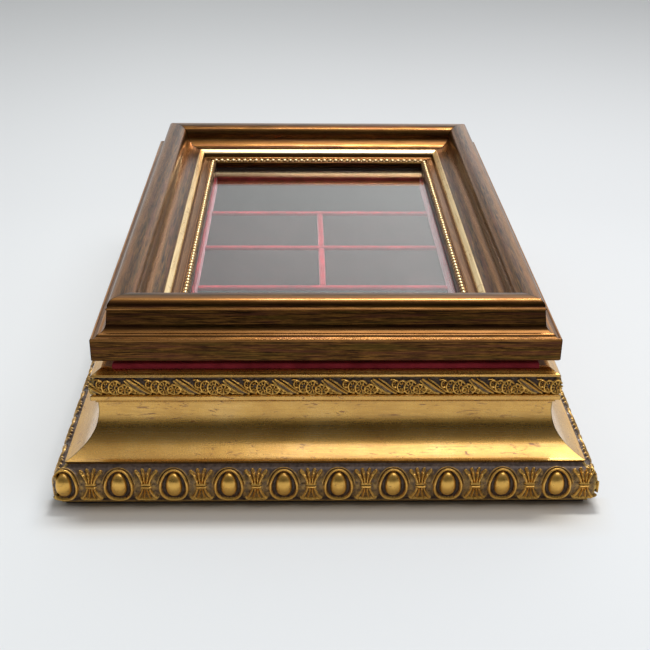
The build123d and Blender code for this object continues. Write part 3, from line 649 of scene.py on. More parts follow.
def bronze_material(name, axis):
    """Antique bronze foil: copper-gold rubbed through on the raised edges, brown patina with fine dark streaks on the flats."""
    m, nt, bs = mat(name)
    v1 = coords(nt, along(axis, 1.0, 0.045))
    v2 = coords(nt, along(axis, 1.0, 0.022))
    v3 = coords(nt, (1, 1, 1))
    a = noise(nt, v1, 1350.0, 5.0, 0.78)
    b = noise(nt, v2, 2600.0, 3.0, 0.6)
    c = noise(nt, v3, 26.0, 4.0, 0.55)
    at = nt.nodes.new("ShaderNodeAttribute")
    at.attribute_name = "rub"
    rub = math_(nt, "ADD", at.outputs["Fac"], math_(nt, "MULTIPLY", math_(nt, "SUBTRACT", a, 0.5), 0.6))
    rub = maprange(nt, rub, 0.05, 1.0, 0.0, 1.0)
    flat = ramp(nt, a, [(0.41, (0.018, 0.006, 0.002)), (0.50, (0.085, 0.036, 0.007)), (0.59, (0.200, 0.088, 0.017))]).outputs[0]
    flat = mixc(nt, maprange(nt, b, 0.52, 0.64, 0.0, 0.55), flat, (0.028, 0.011, 0.004))
    tone = noise(nt, coords(nt, along(axis, 1.0, 0.05), (0, 0, 0)), 420.0, 3.0, 0.6)
    flat = mixc(nt, maprange(nt, tone, 0.50, 0.62, 0.0, 0.55), flat, (0.125, 0.040, 0.020))
    flat = mixc(nt, maprange(nt, tone, 0.46, 0.36, 0.0, 0.50), flat, (0.080, 0.050, 0.008))
    flat = mixc(nt, maprange(nt, c, 0.40, 0.66, 0.0, 0.35), flat, (0.050, 0.021, 0.008))
    gold = ramp(nt, b, [(0.38, (0.28, 0.116, 0.025)), (0.62, (0.44, 0.205, 0.064))]).outputs[0]
    base = mixc(nt, rub, flat, gold)
    sm = seam(nt, LX * MM, LY * MM, 0.00055)
    base = mixc(nt, math_(nt, "MULTIPLY", sm, 0.85), base, (0.010, 0.005, 0.003))
    nt.links.new(base, bs.inputs["Base Color"])
    bs.inputs["Metallic"].default_value = 1.0
    r = maprange(nt, math_(nt, "ADD", math_(nt, "MULTIPLY", a, 0.6), math_(nt, "MULTIPLY", b, 0.4)), 0.35, 0.65, 0.38, 0.26)
    r = math_(nt, "SUBTRACT", r, math_(nt, "MULTIPLY", rub, 0.05))
    nt.links.new(r, bs.inputs["Roughness"])
    bs.inputs["Coat Weight"].default_value = 0.35
    bs.inputs["Coat Roughness"].default_value = 0.16
    bs.inputs["Coat IOR"].default_value = 1.2
    bump(nt, bs, math_(nt, "ADD", a, math_(nt, "MULTIPLY", b, 0.6)), 0.03, 0.00003)
    return m


def pale_gold_material(name, axis):
    m, nt, bs = mat(name)
    v1 = coords(nt, along(axis, 1.0, 0.05))
    a = noise(nt, v1, 800.0, 4.0, 0.6)
    b = noise(nt, coords(nt, (1, 1, 1)), 260.0, 3.0, 0.6)
    col = ramp(nt, a, [(0.3, (0.70, 0.50, 0.24)), (0.6, (0.86, 0.67, 0.37)), (0.8, (0.93, 0.78, 0.50))]).outputs[0]
    col = mixc(nt, maprange(nt, b, 0.60, 0.70, 0.0, 0.5), col, (0.38, 0.20, 0.06))
    sm = seam(nt, LX * MM, LY * MM, 0.00028)
    col = mixc(nt, math_(nt, "MULTIPLY", sm, 0.7), col, (0.10, 0.06, 0.02))
    nt.links.new(col, bs.inputs["Base Color"])
    bs.inputs["Metallic"].default_value = 1.0
    nt.links.new(maprange(nt, a, 0.3, 0.7, 0.26, 0.38), bs.inputs["Roughness"])
    bump(nt, bs, a, 0.15, 0.00008)
    return m


def pearl_material(name):
    m, nt, bs = mat(name)
    v = coords(nt, (1, 1, 1))
    a = noise(nt, v, 900.0, 4.0, 0.6)
    geo = nt.nodes.new("ShaderNodeNewGeometry")
    col = ramp(nt, a, [(0.3, (0.58, 0.38, 0.17)), (0.6, (0.78, 0.57, 0.31)), (0.8, (0.88, 0.70, 0.44))]).outputs[0]
    # pearls and cord are darkened to brown where the mesh is concave (low pointiness): painted shade in the crevices
    col = mixc(nt, maprange(nt, geo.outputs["Pointiness"], 0.42, 0.52, 0.9, 0.0), col, (0.10, 0.05, 0.02))
    nt.links.new(col, bs.inputs["Base Color"])
    bs.inputs["Metallic"].default_value = 1.0
    nt.links.new(maprange(nt, a, 0.3, 0.7, 0.22, 0.36), bs.inputs["Roughness"])
    bump(nt, bs, a, 0.2, 0.00006)
    return m


def velvet_material(name, dark, lit, sheen_tint, scale=1.0, sheen=0.9):
    m, nt, bs = mat(name)
    v = coords(nt, (1, 1, 1))
    pile = noise(nt, v, 2600.0, 3.0, 0.7)
    nap = noise(nt, coords(nt, (1.0, 0.45, 1.0)), 120.0 * scale, 4.0, 0.6, 0.4)
    crush = noise(nt, v, 32.0 * scale, 3.0, 0.55, 0.8)
    f = math_(nt, "ADD", math_(nt, "MULTIPLY", nap, 0.45), math_(nt, "MULTIPLY", crush, 0.35))
    f = math_(nt, "ADD", f, math_(nt, "MULTIPLY", pile, 0.2))
    col = ramp(nt, f, [(0.36, dark), (0.64, lit)]).outputs[0]
    nt.links.new(col, bs.inputs["Base Color"])
    bs.inputs["Roughness"].default_value = 0.92
    bs.inputs["Specular IOR Level"].default_value = 0.15
    bs.inputs["Sheen Weight"].default_value = sheen
    bs.inputs["Sheen Roughness"].default_value = 0.35
    bs.inputs["Sheen Tint"].default_value = (*sheen_tint, 1)
    hgt = math_(nt, "ADD", math_(nt, "MULTIPLY", pile, 0.8), math_(nt, "MULTIPLY", nap, 0.5))
    bump(nt, bs, hgt, 0.5, 0.00022)
    return m


def felt_material(name, dark, lit):
    m, nt, bs = mat(name)
    v = coords(nt, (1, 1, 1))
    a = noise(nt, v, 900.0, 6.0, 0.8, 1.5)
    b = noise(nt, v, 60.0, 3.0, 0.6)
    col = ramp(nt, math_(nt, "ADD", math_(nt, "MULTIPLY", a, 0.7), math_(nt, "MULTIPLY", b, 0.3)), [(0.35, dark), (0.65, lit)]).outputs[0]
    nt.links.new(col, bs.inputs["Base Color"])
    bs.inputs["Roughness"].default_value = 0.95
    bs.inputs["Sheen Weight"].default_value = 0.4
    bump(nt, bs, a, 0.6, 0.0003)
    return m


def wood_material(name, axis, c0, c1, c2, rough=(0.55, 0.75)):
    m, nt, bs = mat(name)
    v = coords(nt, along(axis, 1.0, 0.06))
    a = noise(nt, v, 260.0, 6.0, 0.65, 1.2)
    b = noise(nt, v, 1500.0, 3.0, 0.6)
    col = ramp(nt, a, [(0.32, c0), (0.5, c1), (0.7, c2)]).outputs[0]
    col = mixc(nt, maprange(nt, b, 0.5, 0.7, 0.0, 0.4), col, c0)
    nt.links.new(col, bs.inputs["Base Color"])
    nt.links.new(maprange(nt, a, 0.3, 0.7, rough[0], rough[1]), bs.inputs["Roughness"])
    bump(nt, bs, math_(nt, "ADD", a, b), 0.3, 0.00015)
    return m


def metal_material(name, c0, c1, rough, metallic=1.0):
    m, nt, bs = mat(name)
    v = coords(nt, (1, 1, 1))
    a = noise(nt, v, 300.0, 4.0, 0.6)
    b = noise(nt, coords(nt, (0.08, 1, 1)), 1800.0, 3.0, 0.6)
    nt.links.new(ramp(nt, a, [(0.3, c0), (0.7, c1)]).outputs[0], bs.inputs["Base Color"])
    bs.inputs["Metallic"].default_value = metallic
    nt.links.new(maprange(nt, math_(nt, "ADD", math_(nt, "MULTIPLY", a, 0.5), math_(nt, "MULTIPLY", b, 0.5)), 0.3, 0.7, rough[0], rough[1]), bs.inputs["Roughness"])
    bump(nt, bs, b, 0.12, 0.00005)
    return m


def glass_material(name, tint, rough0=0.0):
    """Clear pane that lets lamps through to what lies behind it."""
    m = bpy.data.materials.new(name)
    m.use_nodes = True
    nt = m.node_tree
    nt.nodes.clear()
    out = nt.nodes.new("ShaderNodeOutputMaterial")
    bs = nt.nodes.new("ShaderNodeBsdfPrincipled")
    tr = nt.nodes.new("ShaderNodeBsdfTransparent")
    mx = nt.nodes.new("ShaderNodeMixShader")
    lp = nt.nodes.new("ShaderNodeLightPath")
    v = coords(nt, (1, 1, 1))
    dust = noise(nt, v, 55.0, 5.0, 0.7, 0.4)
    bs.inputs["Transmission Weight"].default_value = 1.0
    bs.inputs["IOR"].default_value = 1.5
    nt.links.new(ramp(nt, dust, [(0.3, tint), (0.8, tuple(min(1.0, c * 1.02) for c in tint))]).outputs[0], bs.inputs["Base Color"])
    nt.links.new(maprange(nt, dust, 0.45, 0.85, rough0, rough0 + 0.02), bs.inputs["Roughness"])
    tr.inputs[0].default_value = (*tuple(c * 0.82 for c in tint), 1)
    nt.links.new(lp.outputs["Is Shadow Ray"], mx.inputs[0])
    nt.links.new(bs.outputs[0], mx.inputs[1])
    nt.links.new(tr.outputs[0], mx.inputs[2])
    nt.links.new(mx.outputs[0], out.inputs[0])
    return m


M = {}
for ax in "xy":
    M["gilt_" + ax] = gilt_material("gilt_" + ax, ax)
    M["carved_" + ax] = gilt_material("carved_gilt_" + ax, ax, True)
    M["bronze_" + ax] = bronze_material("bronze_foil_" + ax, ax)
    M["pale_" + ax] = pale_gold_material("pale_gold_" + ax, ax)
    M["raw_" + ax] = wood_material("raw_moulding_wood_" + ax, ax, (0.30, 0.17, 0.08), (0.45, 0.29, 0.15), (0.56, 0.39, 0.22))
    M["stain_" + ax] = wood_material("black_stained_wood_" + ax, ax, (0.010, 0.008, 0.007), (0.022, 0.016, 0.013), (0.045, 0.032, 0.026))
M["pearl"] = pearl_material("pearl_gold")
M["velvet"] = velvet_material("burgundy_velvet", (0.17, 0.010, 0.015), (0.41, 0.034, 0.048), (0.95, 0.60, 0.66), sheen=0.6)
M["black_velvet"] = velvet_material("black_velvet", (0.004, 0.003, 0.003), (0.015, 0.012, 0.011), (0.6, 0.5, 0.5), sheen=0.22)
# a reddish, slightly lighter black velvet, used for the four pads of the two split rows
M["reddish_black_velvet"] = velvet_material("reddish_black_velvet", (0.013, 0.007, 0.007), (0.040, 0.023, 0.023), (0.6, 0.5, 0.5), sheen=0.22)
M["felt"] = felt_material("base_felt_cloth", (0.008, 0.008, 0.009), (0.035, 0.034, 0.036))
M["board"] = wood_material("hardboard", "y", (0.20, 0.12, 0.065), (0.30, 0.19, 0.105), (0.38, 0.26, 0.15), (0.6, 0.8))
M["softwood"] = wood_material("softwood_blocks", "x", (0.40, 0.26, 0.12), (0.58, 0.41, 0.22), (0.70, 0.54, 0.33))
M["steel"] = metal_material("steel_wire", (0.33, 0.33, 0.34), (0.55, 0.55, 0.56), (0.25, 0.45))
M["brass"] = metal_material("aged_brass", (0.50, 0.31, 0.10), (0.78, 0.56, 0.24), (0.22, 0.40))
M["glass"] = glass_material("clear_glass", (0.955, 0.985, 0.97))
M["silicone"] = glass_material("clear_silicone", (0.86, 0.88, 0.90), 0.08)


def repaint(node, material):
    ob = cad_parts[node]
    if not ob.material_slots:
        ob.data.materials.append(material)
    for s in ob.material_slots:
        s.material = material


for node, key in (
    ("base_bottom_board", "board"), ("tray_floor", "board"), ("corner_blocks", "softwood"),
    ("base_v_nails", "steel"), ("lid_v_nails", "steel"), ("board_brads", "steel"), ("retainer_brads", "steel"),
    ("glass_retainer_front", "stain_x"), ("glass_retainer_back", "stain_x"),
    ("glass_retainer_left", "stain_y"), ("glass_retainer_right", "stain_y"),
    ("lid_glass", "glass"), ("lid_bumpers", "silicone"),
    ("hinge_base_leaf_left", "brass"), ("hinge_base_leaf_right", "brass"),
    ("hinge_lid_leaf_left", "brass"), ("hinge_lid_leaf_right", "brass"),
    ("hinge_pin_left", "brass"), ("hinge_pin_right", "brass"),
    ("hinge_screws_base", "brass"), ("hinge_screws_lid", "brass"),
):
    repaint(node, M[key])

# -------------------------------------------------------------- base moulding
EGG_TOP = spline([(16.9, FELT), (20.3, 4.9), (21.55, 11.2), (20.9, 17.0), (18.4, 21.1), (14.8, 23.5)], 0.345)
SCROLL_TOP = np.array(arc3((1.45, 54.05), (2.4, 59.2), (1.15, 64.05), 36))
COVE = spline([(14.4, 23.75), (11.4, 25.0), (7.9, 26.95), (4.9, 29.3), (2.4, 32.2), (0.5, 35.7), (-0.7, 39.6), (-1.3, 43.8), (-1.3, 47.8)], 0.9)


def base_ring():
    """The moulding's closed section with the two carved bands left out as shallow seats."""
    pts = []
    seg = []

    def put(ps, m):
        for p in ps:
            pts.append((float(p[0]), float(p[1])))
            seg.append(m)
    # foot and the seat under the egg band
    put([(14.6, FELT), (17.6, 5.0), (18.6, 11.0), (18.0, 16.4), (15.9, 20.2), (13.4, 22.2)], 0)
    # lower end of the cove, then the cove
    put([(13.9, 22.9), (14.5, 23.25), (14.75, 23.6), (14.6, 23.85)], 0)
    put(COVE[1:], 0)
    # bead and groove, then the flat fillet that stands out over the cove
    put(rounded([(-1.3, 47.8), (-1.28, 48.7), (-0.25, 49.15), (-0.15, 49.75), (-0.85, 50.05), (-0.8, 50.75), (1.75, 51.15), (2.0, 53.55), (0.7, 54.15), (-0.4, 54.2)],
                [0, 0.15, 0.22, 0.22, 0.1, 0.1, 0.22, 0.35, 0.2, 0], 4)[1:], 0)
    # seat of the scroll band
    put([(-0.5, 57.0), (-0.55, 61.0), (-0.4, 63.6)], 0)
    # rim: a thin bright edge, then the slope up to the flat top
    put(rounded([(-0.4, 63.6), (1.0, 63.95), (1.1, 64.45), (0.55, 64.95), (-0.8, 65.45), (-3.6, RIM - 0.02), (-5.5, RIM)],
                [0, 0.2, 0.22, 0.22, 0.6, 0.5, 0], 4)[1:], 0)
    put([(-17.0, RIM), (-17.0, FELT + 4.0), (-9.0, FELT + 4.0), (-9.0, FELT)], 1)
    seg[-5] = 1
    return pts, seg


ring, seg = base_ring()
for rail in RAILS:
    ax = "x" if rail in ("front", "back") else "y"
    r_ = ring
    body = straight_rail("gilt_rail_" + rail, rail, r_, [M["gilt_" + ax], M["raw_" + ax]], seg, step=5.0, wave=0.035, seed=len(rail))
    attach(body, "root")
    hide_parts("base_%s_rail" % rail)
    egg = carved_strip("egg_band_" + rail, rail, EGG_TOP, egg_relief, [M["carved_" + ax]], 3.1, 0.345, 6.1)
    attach(egg, "root")
    scr = carved_strip("scroll_band_" + rail, rail, SCROLL_TOP, scroll_relief, [M["carved_" + ax]], 2.2, 0.27, 17.9)
    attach(scr, "root")

# --------------------------------------------------------------- lid moulding


def lid_ring():
    pts, seg, rub = [], [], []

    def put(ps, m, w):
        w = [w] * len(ps) if not isinstance(w, (list, tuple, np.ndarray)) else list(w)
        for (u, z), q in zip(ps, w):
            pts.append((-float(u), LZ + float(z)))
            seg.append(m)
            rub.append(float(q))

    def blend(n, a, b):
        return list(np.linspace(a, b, n))
    # 0 bronze, 1 pale gold, 2 dark-stained wood (no section point uses it), 3 raw wood
    ps = rounded([(6.0, 0.0), (1.1, 0.0), (0.0, 1.0), (0.0, 4.0)], [0, 0.5, 0.6, 0], 4)
    put(ps, 0, [0.4, 0.8, 1.0, 1.0, 0.9, 0.6] + blend(len(ps) - 6, 0.35, 0.03))
    put([(0.0, 8.0), (0.0, 11.0)], 0, [0.02, 0.0])
    # rounded arris of the ledge, a fine quirk behind it, a roll, then the lower cove
    ps = rounded([(0.0, 11.0), (0.0, 12.0), (0.5, 12.5), (1.1, 12.3), (1.5, 12.1), (2.5, 12.35)], [0, 0.4, 0.35, 0.2, 0.3, 0], 4)[1:]
    put(ps, 0, [1.0 if p[0] < 1.0 else 0.25 for p in ps])
    put(arc3((2.7, 12.6), (3.5, 13.45), (4.7, 13.55), 8), 0, [0.6, 0.9, 1.0, 1.0, 1.0, 1.0, 1.0, 0.95, 0.9])
    put(arc3((4.7, 13.55), (6.3, 14.9), (7.25, 17.6), 9)[1:], 0, [0.85, 0.8, 0.65, 0.4, 0.2, 0.1, 0.0, 0.0, 0.0])
    put([(7.6, 20.8), (8.0, 24.1)], 0, [0.0, 0.0])
    # bead at the foot of the crown
    ps = rounded([(8.0, 24.1), (7.62, 24.55), (7.62, 25.15), (8.2, 25.6)], [0, 0.25, 0.25, 0], 3)[1:]
    put(ps, 0, [0.95] * (len(ps) - 1) + [0.2])
    ps = spline([(8.15, 25.8), (8.42, 27.0), (8.95, 28.0), (9.8, 28.85), (11.0, 29.28), (13.0, 29.45), (15.2, 29.5), (17.6, 29.15), (20.0, 28.1)], 0.42)
    put(ps, 0, np.interp([p[0] for p in ps], [8.2, 8.5, 9.0, 9.8, 11.8, 13.0, 14.0, 17.0, 19.0, 20.0], [0.1, 0.2, 0.45, 0.55, 0.55, 0.4, 0.12, 0.08, 0.15, 0.4]))
    put(arc3((20.0, 28.1), (21.1, 26.5), (22.0, 21.8), 7)[1:], 0, [0.30, 0.30, 0.32, 0.34, 0.34, 0.32, 0.3])
    put(arc3((22.0, 21.8), (25.4, 17.9), (30.9, 16.1), 12)[1:], 0, [0.25, 0.35, 0.6, 0.75, 0.6, 0.25, 0.08, 0.03, 0.02, 0.02, 0.02, 0.02])
    put([(31.15, 16.05)], 1, 0.2)
    put(rounded([(31.15, 16.05), (31.5, 16.5), (32.2, 16.35), (34.1, 14.95), (34.6, 14.2)], [0, 0.25, 0.35, 0.4, 0], 4)[1:], 1, 0.5)
    seg[-1] = 0
    ps = rounded([(34.6, 14.2), (35.2, 11.6), (38.3, 11.3), (38.6, 12.0), (39.1, 11.95), (39.2, 11.0)], [0, 0.5, 0.25, 0.22, 0.22, 0], 3)[1:]
    put(ps, 0, [0.55, 0.5, 0.45, 0.4] + [0.45] * (len(ps) - 9) + [0.9, 0.9, 0.9, 0.9, 0.3])
    put(rounded([(39.2, 11.0), (42.9, 10.9), (43.4, 10.4), (43.4, 7.3)], [0, 0.2, 0.3, 0], 3)[1:], 0, 0.0)
    put([(36.4, 7.3), (36.4, 0.0)], 3, 0.0)
    seg[-3] = 3
    return pts, seg, rub


ring, seg, rub = lid_ring()
for rail in RAILS:
    ax = "x" if rail in ("front", "back") else "y"
    body = straight_rail("bronze_rail_" + rail, rail, ring,
                         [M["bronze_" + ax], M["pale_" + ax], M["stain_" + ax], M["raw_" + ax]], seg, step=6.0, wave=0.015, seed=40 + len(rail), rub=rub)
    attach(body, "lid")
    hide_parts("lid_%s_rail" % rail)

# pearls along the sight edge
BEAD_P, BEAD_R, BEAD_U, BEAD_Z = 3.99, 1.45, 41.2, 11.15


def pearl_strip(rail):
    N_, T_, half, other = RAILS[rail]
    span = 2 * (other - BEAD_U)
    n = int(span / BEAD_P)
    n += 1 - n % 2 if rail in ("front", "back") else n % 2 * 0
    verts, faces = [], []
    nu, nv = 14, 9
    for k in range(n):
        l = (k - (n - 1) / 2) * BEAD_P
        cx, cy = N_[0] * (half - BEAD_U) + T_[0] * l, N_[1] * (half - BEAD_U) + T_[1] * l
        cz = LZ + BEAD_Z
        b0 = len(verts)
        verts.append((cx, cy, cz + BEAD_R))
        for j in range(1, nv):
            th = math.pi * j / nv
            for i in range(nu):
                ph = 2 * math.pi * i / nu
                a, b = math.sin(th) * math.cos(ph), math.sin(th) * math.sin(ph)
                run = 1.18 * a
                verts.append((cx + BEAD_R * (T_[0] * run + N_[0] * b), cy + BEAD_R * (T_[1] * run + N_[1] * b), cz + BEAD_R * math.cos(th)))
        verts.append((cx, cy, cz - BEAD_R))
        for i in range(nu):
            faces.append((b0, b0 + 1 + i, b0 + 1 + (i + 1) % nu))
            e = b0 + 1 + (nv - 2) * nu
            faces.append((e + i, b0 + 1 + (nv - 1) * nu, e + (i + 1) % nu))
        for j in range(nv - 2):
            for i in range(nu):
                p = b0 + 1 + j * nu
                faces.append((p + i, p + nu + i, p + nu + (i + 1) % nu, p + (i + 1) % nu))
    # a narrow cord of gold under the pearls ties them together
    m = 8
    b0 = len(verts)
    ends = (-(other - BEAD_U), other - BEAD_U)
    for l in ends:
        for i in range(m):
            a = 2 * math.pi * i / m
            o = -BEAD_U + 0.6 * math.cos(a)
            z = LZ + 10.75 + 0.6 * math.sin(a)
            ll = l + (0.6 * math.cos(a) if l > 0 else -0.6 * math.cos(a))
            verts.append((N_[0] * (half + o) + T_[0] * ll, N_[1] * (half + o) + T_[1] * ll, z))
    for i in range(m):
        faces.append((b0 + i, b0 + (i + 1) % m, b0 + m + (i + 1) % m, b0 + m + i))
    faces.append(tuple(b0 + i for i in range(m)))
    faces.append(tuple(b0 + m + i for i in range(m))[::-1])
    ob = new_object("pearl_strip_" + rail, np.array(verts), faces, [M["pearl"]])
    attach(ob, "lid")


for rail in RAILS:
    pearl_strip(rail)

# ---------------------------------------------------------------- velvet tray


def soft_slab(name, quad, z0, z1, rad, step, mat_, node, body, crown=0.0, puff=0.0, seed=0, inset=0.0):
    """A padded slab over a plan quad (four corners, counter-clockwise), with rounded edges and a slight crown."""
    q = np.array(quad, float)
    w = 0.5 * (np.linalg.norm(q[1] - q[0]) + np.linalg.norm(q[2] - q[3]))
    d = 0.5 * (np.linalg.norm(q[3] - q[0]) + np.linalg.norm(q[2] - q[1]))
    t = z1 - z0
    rr = min(rad, 0.49 * w, 0.49 * d)
    rz = min(rad, 0.49 * t)

    def axis(total, r, st):
        k = 4
        edge = [r * (1 - math.cos(math.pi / 2 * i / k)) for i in range(k + 1)]
        mid = np.linspace(r, total - r, max(2, int((total - 2 * r) / st) + 1))[1:-1]
        return np.array(edge + list(mid) + [total - e for e in edge[::-1]])
    X, Y, Z = axis(w, rr, step), axis(d, rr, step), axis(t, rz, max(step, t))
    nx, ny, nz = len(X), len(Y), len(Z)
    ids, verts = {}, []

    def vid(i, j, k):
        if (i, j, k) in ids:
            return ids[(i, j, k)]
        p = np.array([X[i], Y[j], Z[k]])
        c = np.array([min(max(p[0], rr), w - rr), min(max(p[1], rr), d - rr), min(max(p[2], rz), t - rz)])
        v = (p - c) / np.array([rr, rr, rz])
        n = np.linalg.norm(v)
        if n > 1e-9:
            # points on the box surface are pushed on to the rounded edge
            mx = np.max(np.abs(v))
            v = v / n * mx if mx < 1 else v / n
            p = c + v * np.array([rr, rr, rz])
        ids[(i, j, k)] = len(verts)
        verts.append(p)
        return ids[(i, j, k)]
    faces = []
    for i in range(nx - 1):
        for j in range(ny - 1):
            faces.append((vid(i, j, 0), vid(i, j + 1, 0), vid(i + 1, j + 1, 0), vid(i + 1, j, 0)))
            faces.append((vid(i, j, nz - 1), vid(i + 1, j, nz - 1), vid(i + 1, j + 1, nz - 1), vid(i, j + 1, nz - 1)))
    for i in range(nx - 1):
        for k in range(nz - 1):
            faces.append((vid(i, 0, k), vid(i + 1, 0, k), vid(i + 1, 0, k + 1), vid(i, 0, k + 1)))
            faces.append((vid(i, ny - 1, k), vid(i, ny - 1, k + 1), vid(i + 1, ny - 1, k + 1), vid(i + 1, ny - 1, k)))
    for j in range(ny - 1):
        for k in range(nz - 1):
            faces.append((vid(0, j, k), vid(0, j, k + 1), vid(0, j + 1, k + 1), vid(0, j + 1, k)))
            faces.append((vid(nx - 1, j, k), vid(nx - 1, j + 1, k), vid(nx - 1, j + 1, k + 1), vid(nx - 1, j, k + 1)))
    P = np.array(verts)
    rng = np.random.RandomState(seed)
    ph = rng.uniform(0, 6.28, 8)
    fx, fy = P[:, 0] / w, P[:, 1] / d
    top = np.clip(P[:, 2] / t, 0, 1)
    hump = (1 - (2 * fx - 1) ** 4) * (1 - (2 * fy - 1) ** 4)
    rip = np.sin(P[:, 0] * 0.33 + ph[0] + 0.8 * np.sin(P[:, 1] * 0.21 + ph[1])) * np.sin(P[:, 1] * 0.29 + ph[2] + 0.7 * np.sin(P[:, 0] * 0.17 + ph[3]))
    rip += 0.5 * np.sin(P[:, 0] * 0.9 + ph[4]) * np.sin(P[:, 1] * 0.8 + ph[5])
    P[:, 2] += top * (crown * hump + puff * rip * hump)
    # plan: bilinear on to the quad
    u, v = (P[:, 0] / w)[:, None], (P[:, 1] / d)[:, None]
    xy = (1 - u) * (1 - v) * q[0] + u * (1 - v) * q[1] + u * v * q[2] + (1 - u) * v * q[3]
    out = np.concatenate([xy, (z0 + P[:, 2])[:, None]], 1)
    ob = new_object(name, out, faces, [mat_], sharp=80.0)
    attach(ob, body)
    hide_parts(node)
    return ob


def node_quad(node, inset=0.0):
    lo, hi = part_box(node)
    x0, y0, z0, x1, y1, z1 = (float(v) * 1000 for v in (*lo, *hi))
    x0, y0, x1, y1 = x0 + inset, y0 + inset, x1 - inset, y1 - inset
    return [(x0, y0), (x1, y0), (x1, y1), (x0, y1)], z0, z1


def soft_band(name, quad, z0, z1, rad, mat_, node, seed, nap=0.05):
    """A mitred padded strip. quad: outer start, outer end, inner end, inner start."""
    A, B, C, D = (np.array(p, float) for p in quad)
    w = 0.5 * (np.linalg.norm(D - A) + np.linalg.norm(C - B))
    length = 0.5 * (np.linalg.norm(B - A) + np.linalg.norm(C - D))
    t = z1 - z0
    sec = rounded([(0.5 * w, 0.0), (0.0, 0.0), (0.0, t), (w, t), (w, 0.0), (0.5 * w, 0.0)], [0, 0.25, rad, rad, 0.25, 0], 5)[:-1]
    full = []
    for p, q in zip(sec, sec[1:] + sec[:1]):
        n = max(1, int(math.hypot(q[0] - p[0], q[1] - p[1]) / 2.0))
        full += [(p[0] + (q[0] - p[0]) * k / n, p[1] + (q[1] - p[1]) * k / n) for k in range(n)]
    sec = np.array(full)
    m, K = len(sec), max(3, int(length / 2.2))
    rng = np.random.RandomState(seed)
    ph = rng.uniform(0, 6.28, 6)
    V = np.zeros((K + 1, m, 3))
    for k in range(K + 1):
        a = k / K
        u = sec[:, 0] / w
        xy = (1 - a) * ((1 - u)[:, None] * A + u[:, None] * D) + a * ((1 - u)[:, None] * B + u[:, None] * C)
        V[k, :, :2] = xy
        top = np.clip((sec[:, 1] / t - 0.5) * 2, 0, 1) * min(1.0, 6 * a, 6 * (1 - a))
        X, Y = xy[:, 0], xy[:, 1]
        rip = np.sin(X * 0.33 + ph[0] + 0.8 * np.sin(Y * 0.21 + ph[1])) * np.sin(Y * 0.29 + ph[2] + 0.7 * np.sin(X * 0.17 + ph[3]))
        V[k, :, 2] = z0 + sec[:, 1] - nap * top * (0.5 - 0.5 * rip)
    ids = np.arange((K + 1) * m).reshape(K + 1, m)
    faces = []
    for k in range(K):
        for i_ in range(m):
            j_ = (i_ + 1) % m
            faces.append((int(ids[k, i_]), int(ids[k, j_]), int(ids[k + 1, j_]), int(ids[k + 1, i_])))
    faces.append(tuple(int(q_) for q_ in ids[0]))
    faces.append(tuple(int(q_) for q_ in ids[K][::-1]))
    ob = new_object(name, V.reshape(-1, 3), faces, [mat_], sharp=70.0)
    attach(ob, "root")
    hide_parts(node)
    return ob


_lo, _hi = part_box("tray_flange_right")
WX, FX, FY, FT = (float(_lo[0]) * 1000, float(_hi[0]) * 1000, float(_hi[1]) * 1000, float(_hi[2]) * 1000)
WY = float(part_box("tray_wall_back")[0][1]) * 1000
for side, quad in {
    "front": [(-FX, -FY), (FX, -FY), (WX, -WY), (-WX, -WY)],
    "back": [(FX, FY), (-FX, FY), (-WX, WY), (WX, WY)],
    "left": [(-FX, FY), (-FX, -FY), (-WX, -WY), (-WX, WY)],
    "right": [(FX, -FY), (FX, FY), (WX, WY), (WX, -WY)],
}.items():
    soft_band("velvet_flange_" + side, quad, RIM + 0.01, FT, 1.1, M["velvet"], "tray_flange_" + side, 3 + len(side))
for side in ("front", "back", "left", "right"):
    q, z0, z1 = node_quad("tray_wall_" + side)
    soft_slab("velvet_wall_" + side, q, z0, z1, 0.5, 2.5, M["velvet"], "tray_wall_" + side, "root", seed=9)
for nm in ("cross_divider_front", "cross_divider_middle", "cross_divider_back", "centre_divider_front", "centre_divider_back"):
    q, z0, z1 = node_quad(nm)
    soft_slab("velvet_" + nm, q, z0, z1, 1.25, 1.6, M["velvet"], nm, "root", puff=0.03, seed=len(nm))
for nm in ("coin_pad_front", "coin_pad_back", "coin_pad_front_left", "coin_pad_front_right", "coin_pad_back_left", "coin_pad_back_right"):
    q, z0, z1 = node_quad(nm)
    soft_slab("velvet_" + nm, q, z0, z1 - 0.25, 0.9, 1.8, M["reddish_black_velvet" if nm.endswith(("left", "right")) else "black_velvet"], nm, "root", crown=0.35, puff=0.05, seed=20 + len(nm))

q, z0, z1 = node_quad("base_felt")
felt = soft_slab("felt_sheet", q, 0.0, FELT, 0.25, 6.0, M["felt"], "base_felt", "root", puff=0.0, seed=2)

# -------------------------------------------------------------- camera, light
F_PX = 1133.0
pitch, yaw, roll = math.radians(26.69), math.radians(-1.40), math.radians(0.60)
eye = Vector((-13.0, -487.9 - LY, 265.6 + LZ)) * MM
fwd = Vector((-math.sin(yaw) * math.cos(pitch), math.cos(yaw) * math.cos(pitch), -math.sin(pitch)))
right = Vector((math.cos(yaw), math.sin(yaw), 0))
up = right.cross(fwd)
r2 = math.cos(roll) * right + math.sin(roll) * up
u2 = -math.sin(roll) * right + math.cos(roll) * up
cam_data = bpy.data.cameras.new("view_camera")
cam_data.sensor_width = 36.0
cam_data.sensor_fit = "HORIZONTAL"
cam_data.lens = F_PX * 36.0 / 650.0
cam_data.clip_start = 0.01
cam_data.clip_end = 50.0
cam = bpy.data.objects.new("view_camera", cam_data)
bpy.context.scene.collection.objects.link(cam)
rot = Matrix((r2, u2, -fwd)).transposed().to_4x4()
cam.matrix_world = Matrix.Translation(eye) @ rot
bpy.context.scene.camera = cam

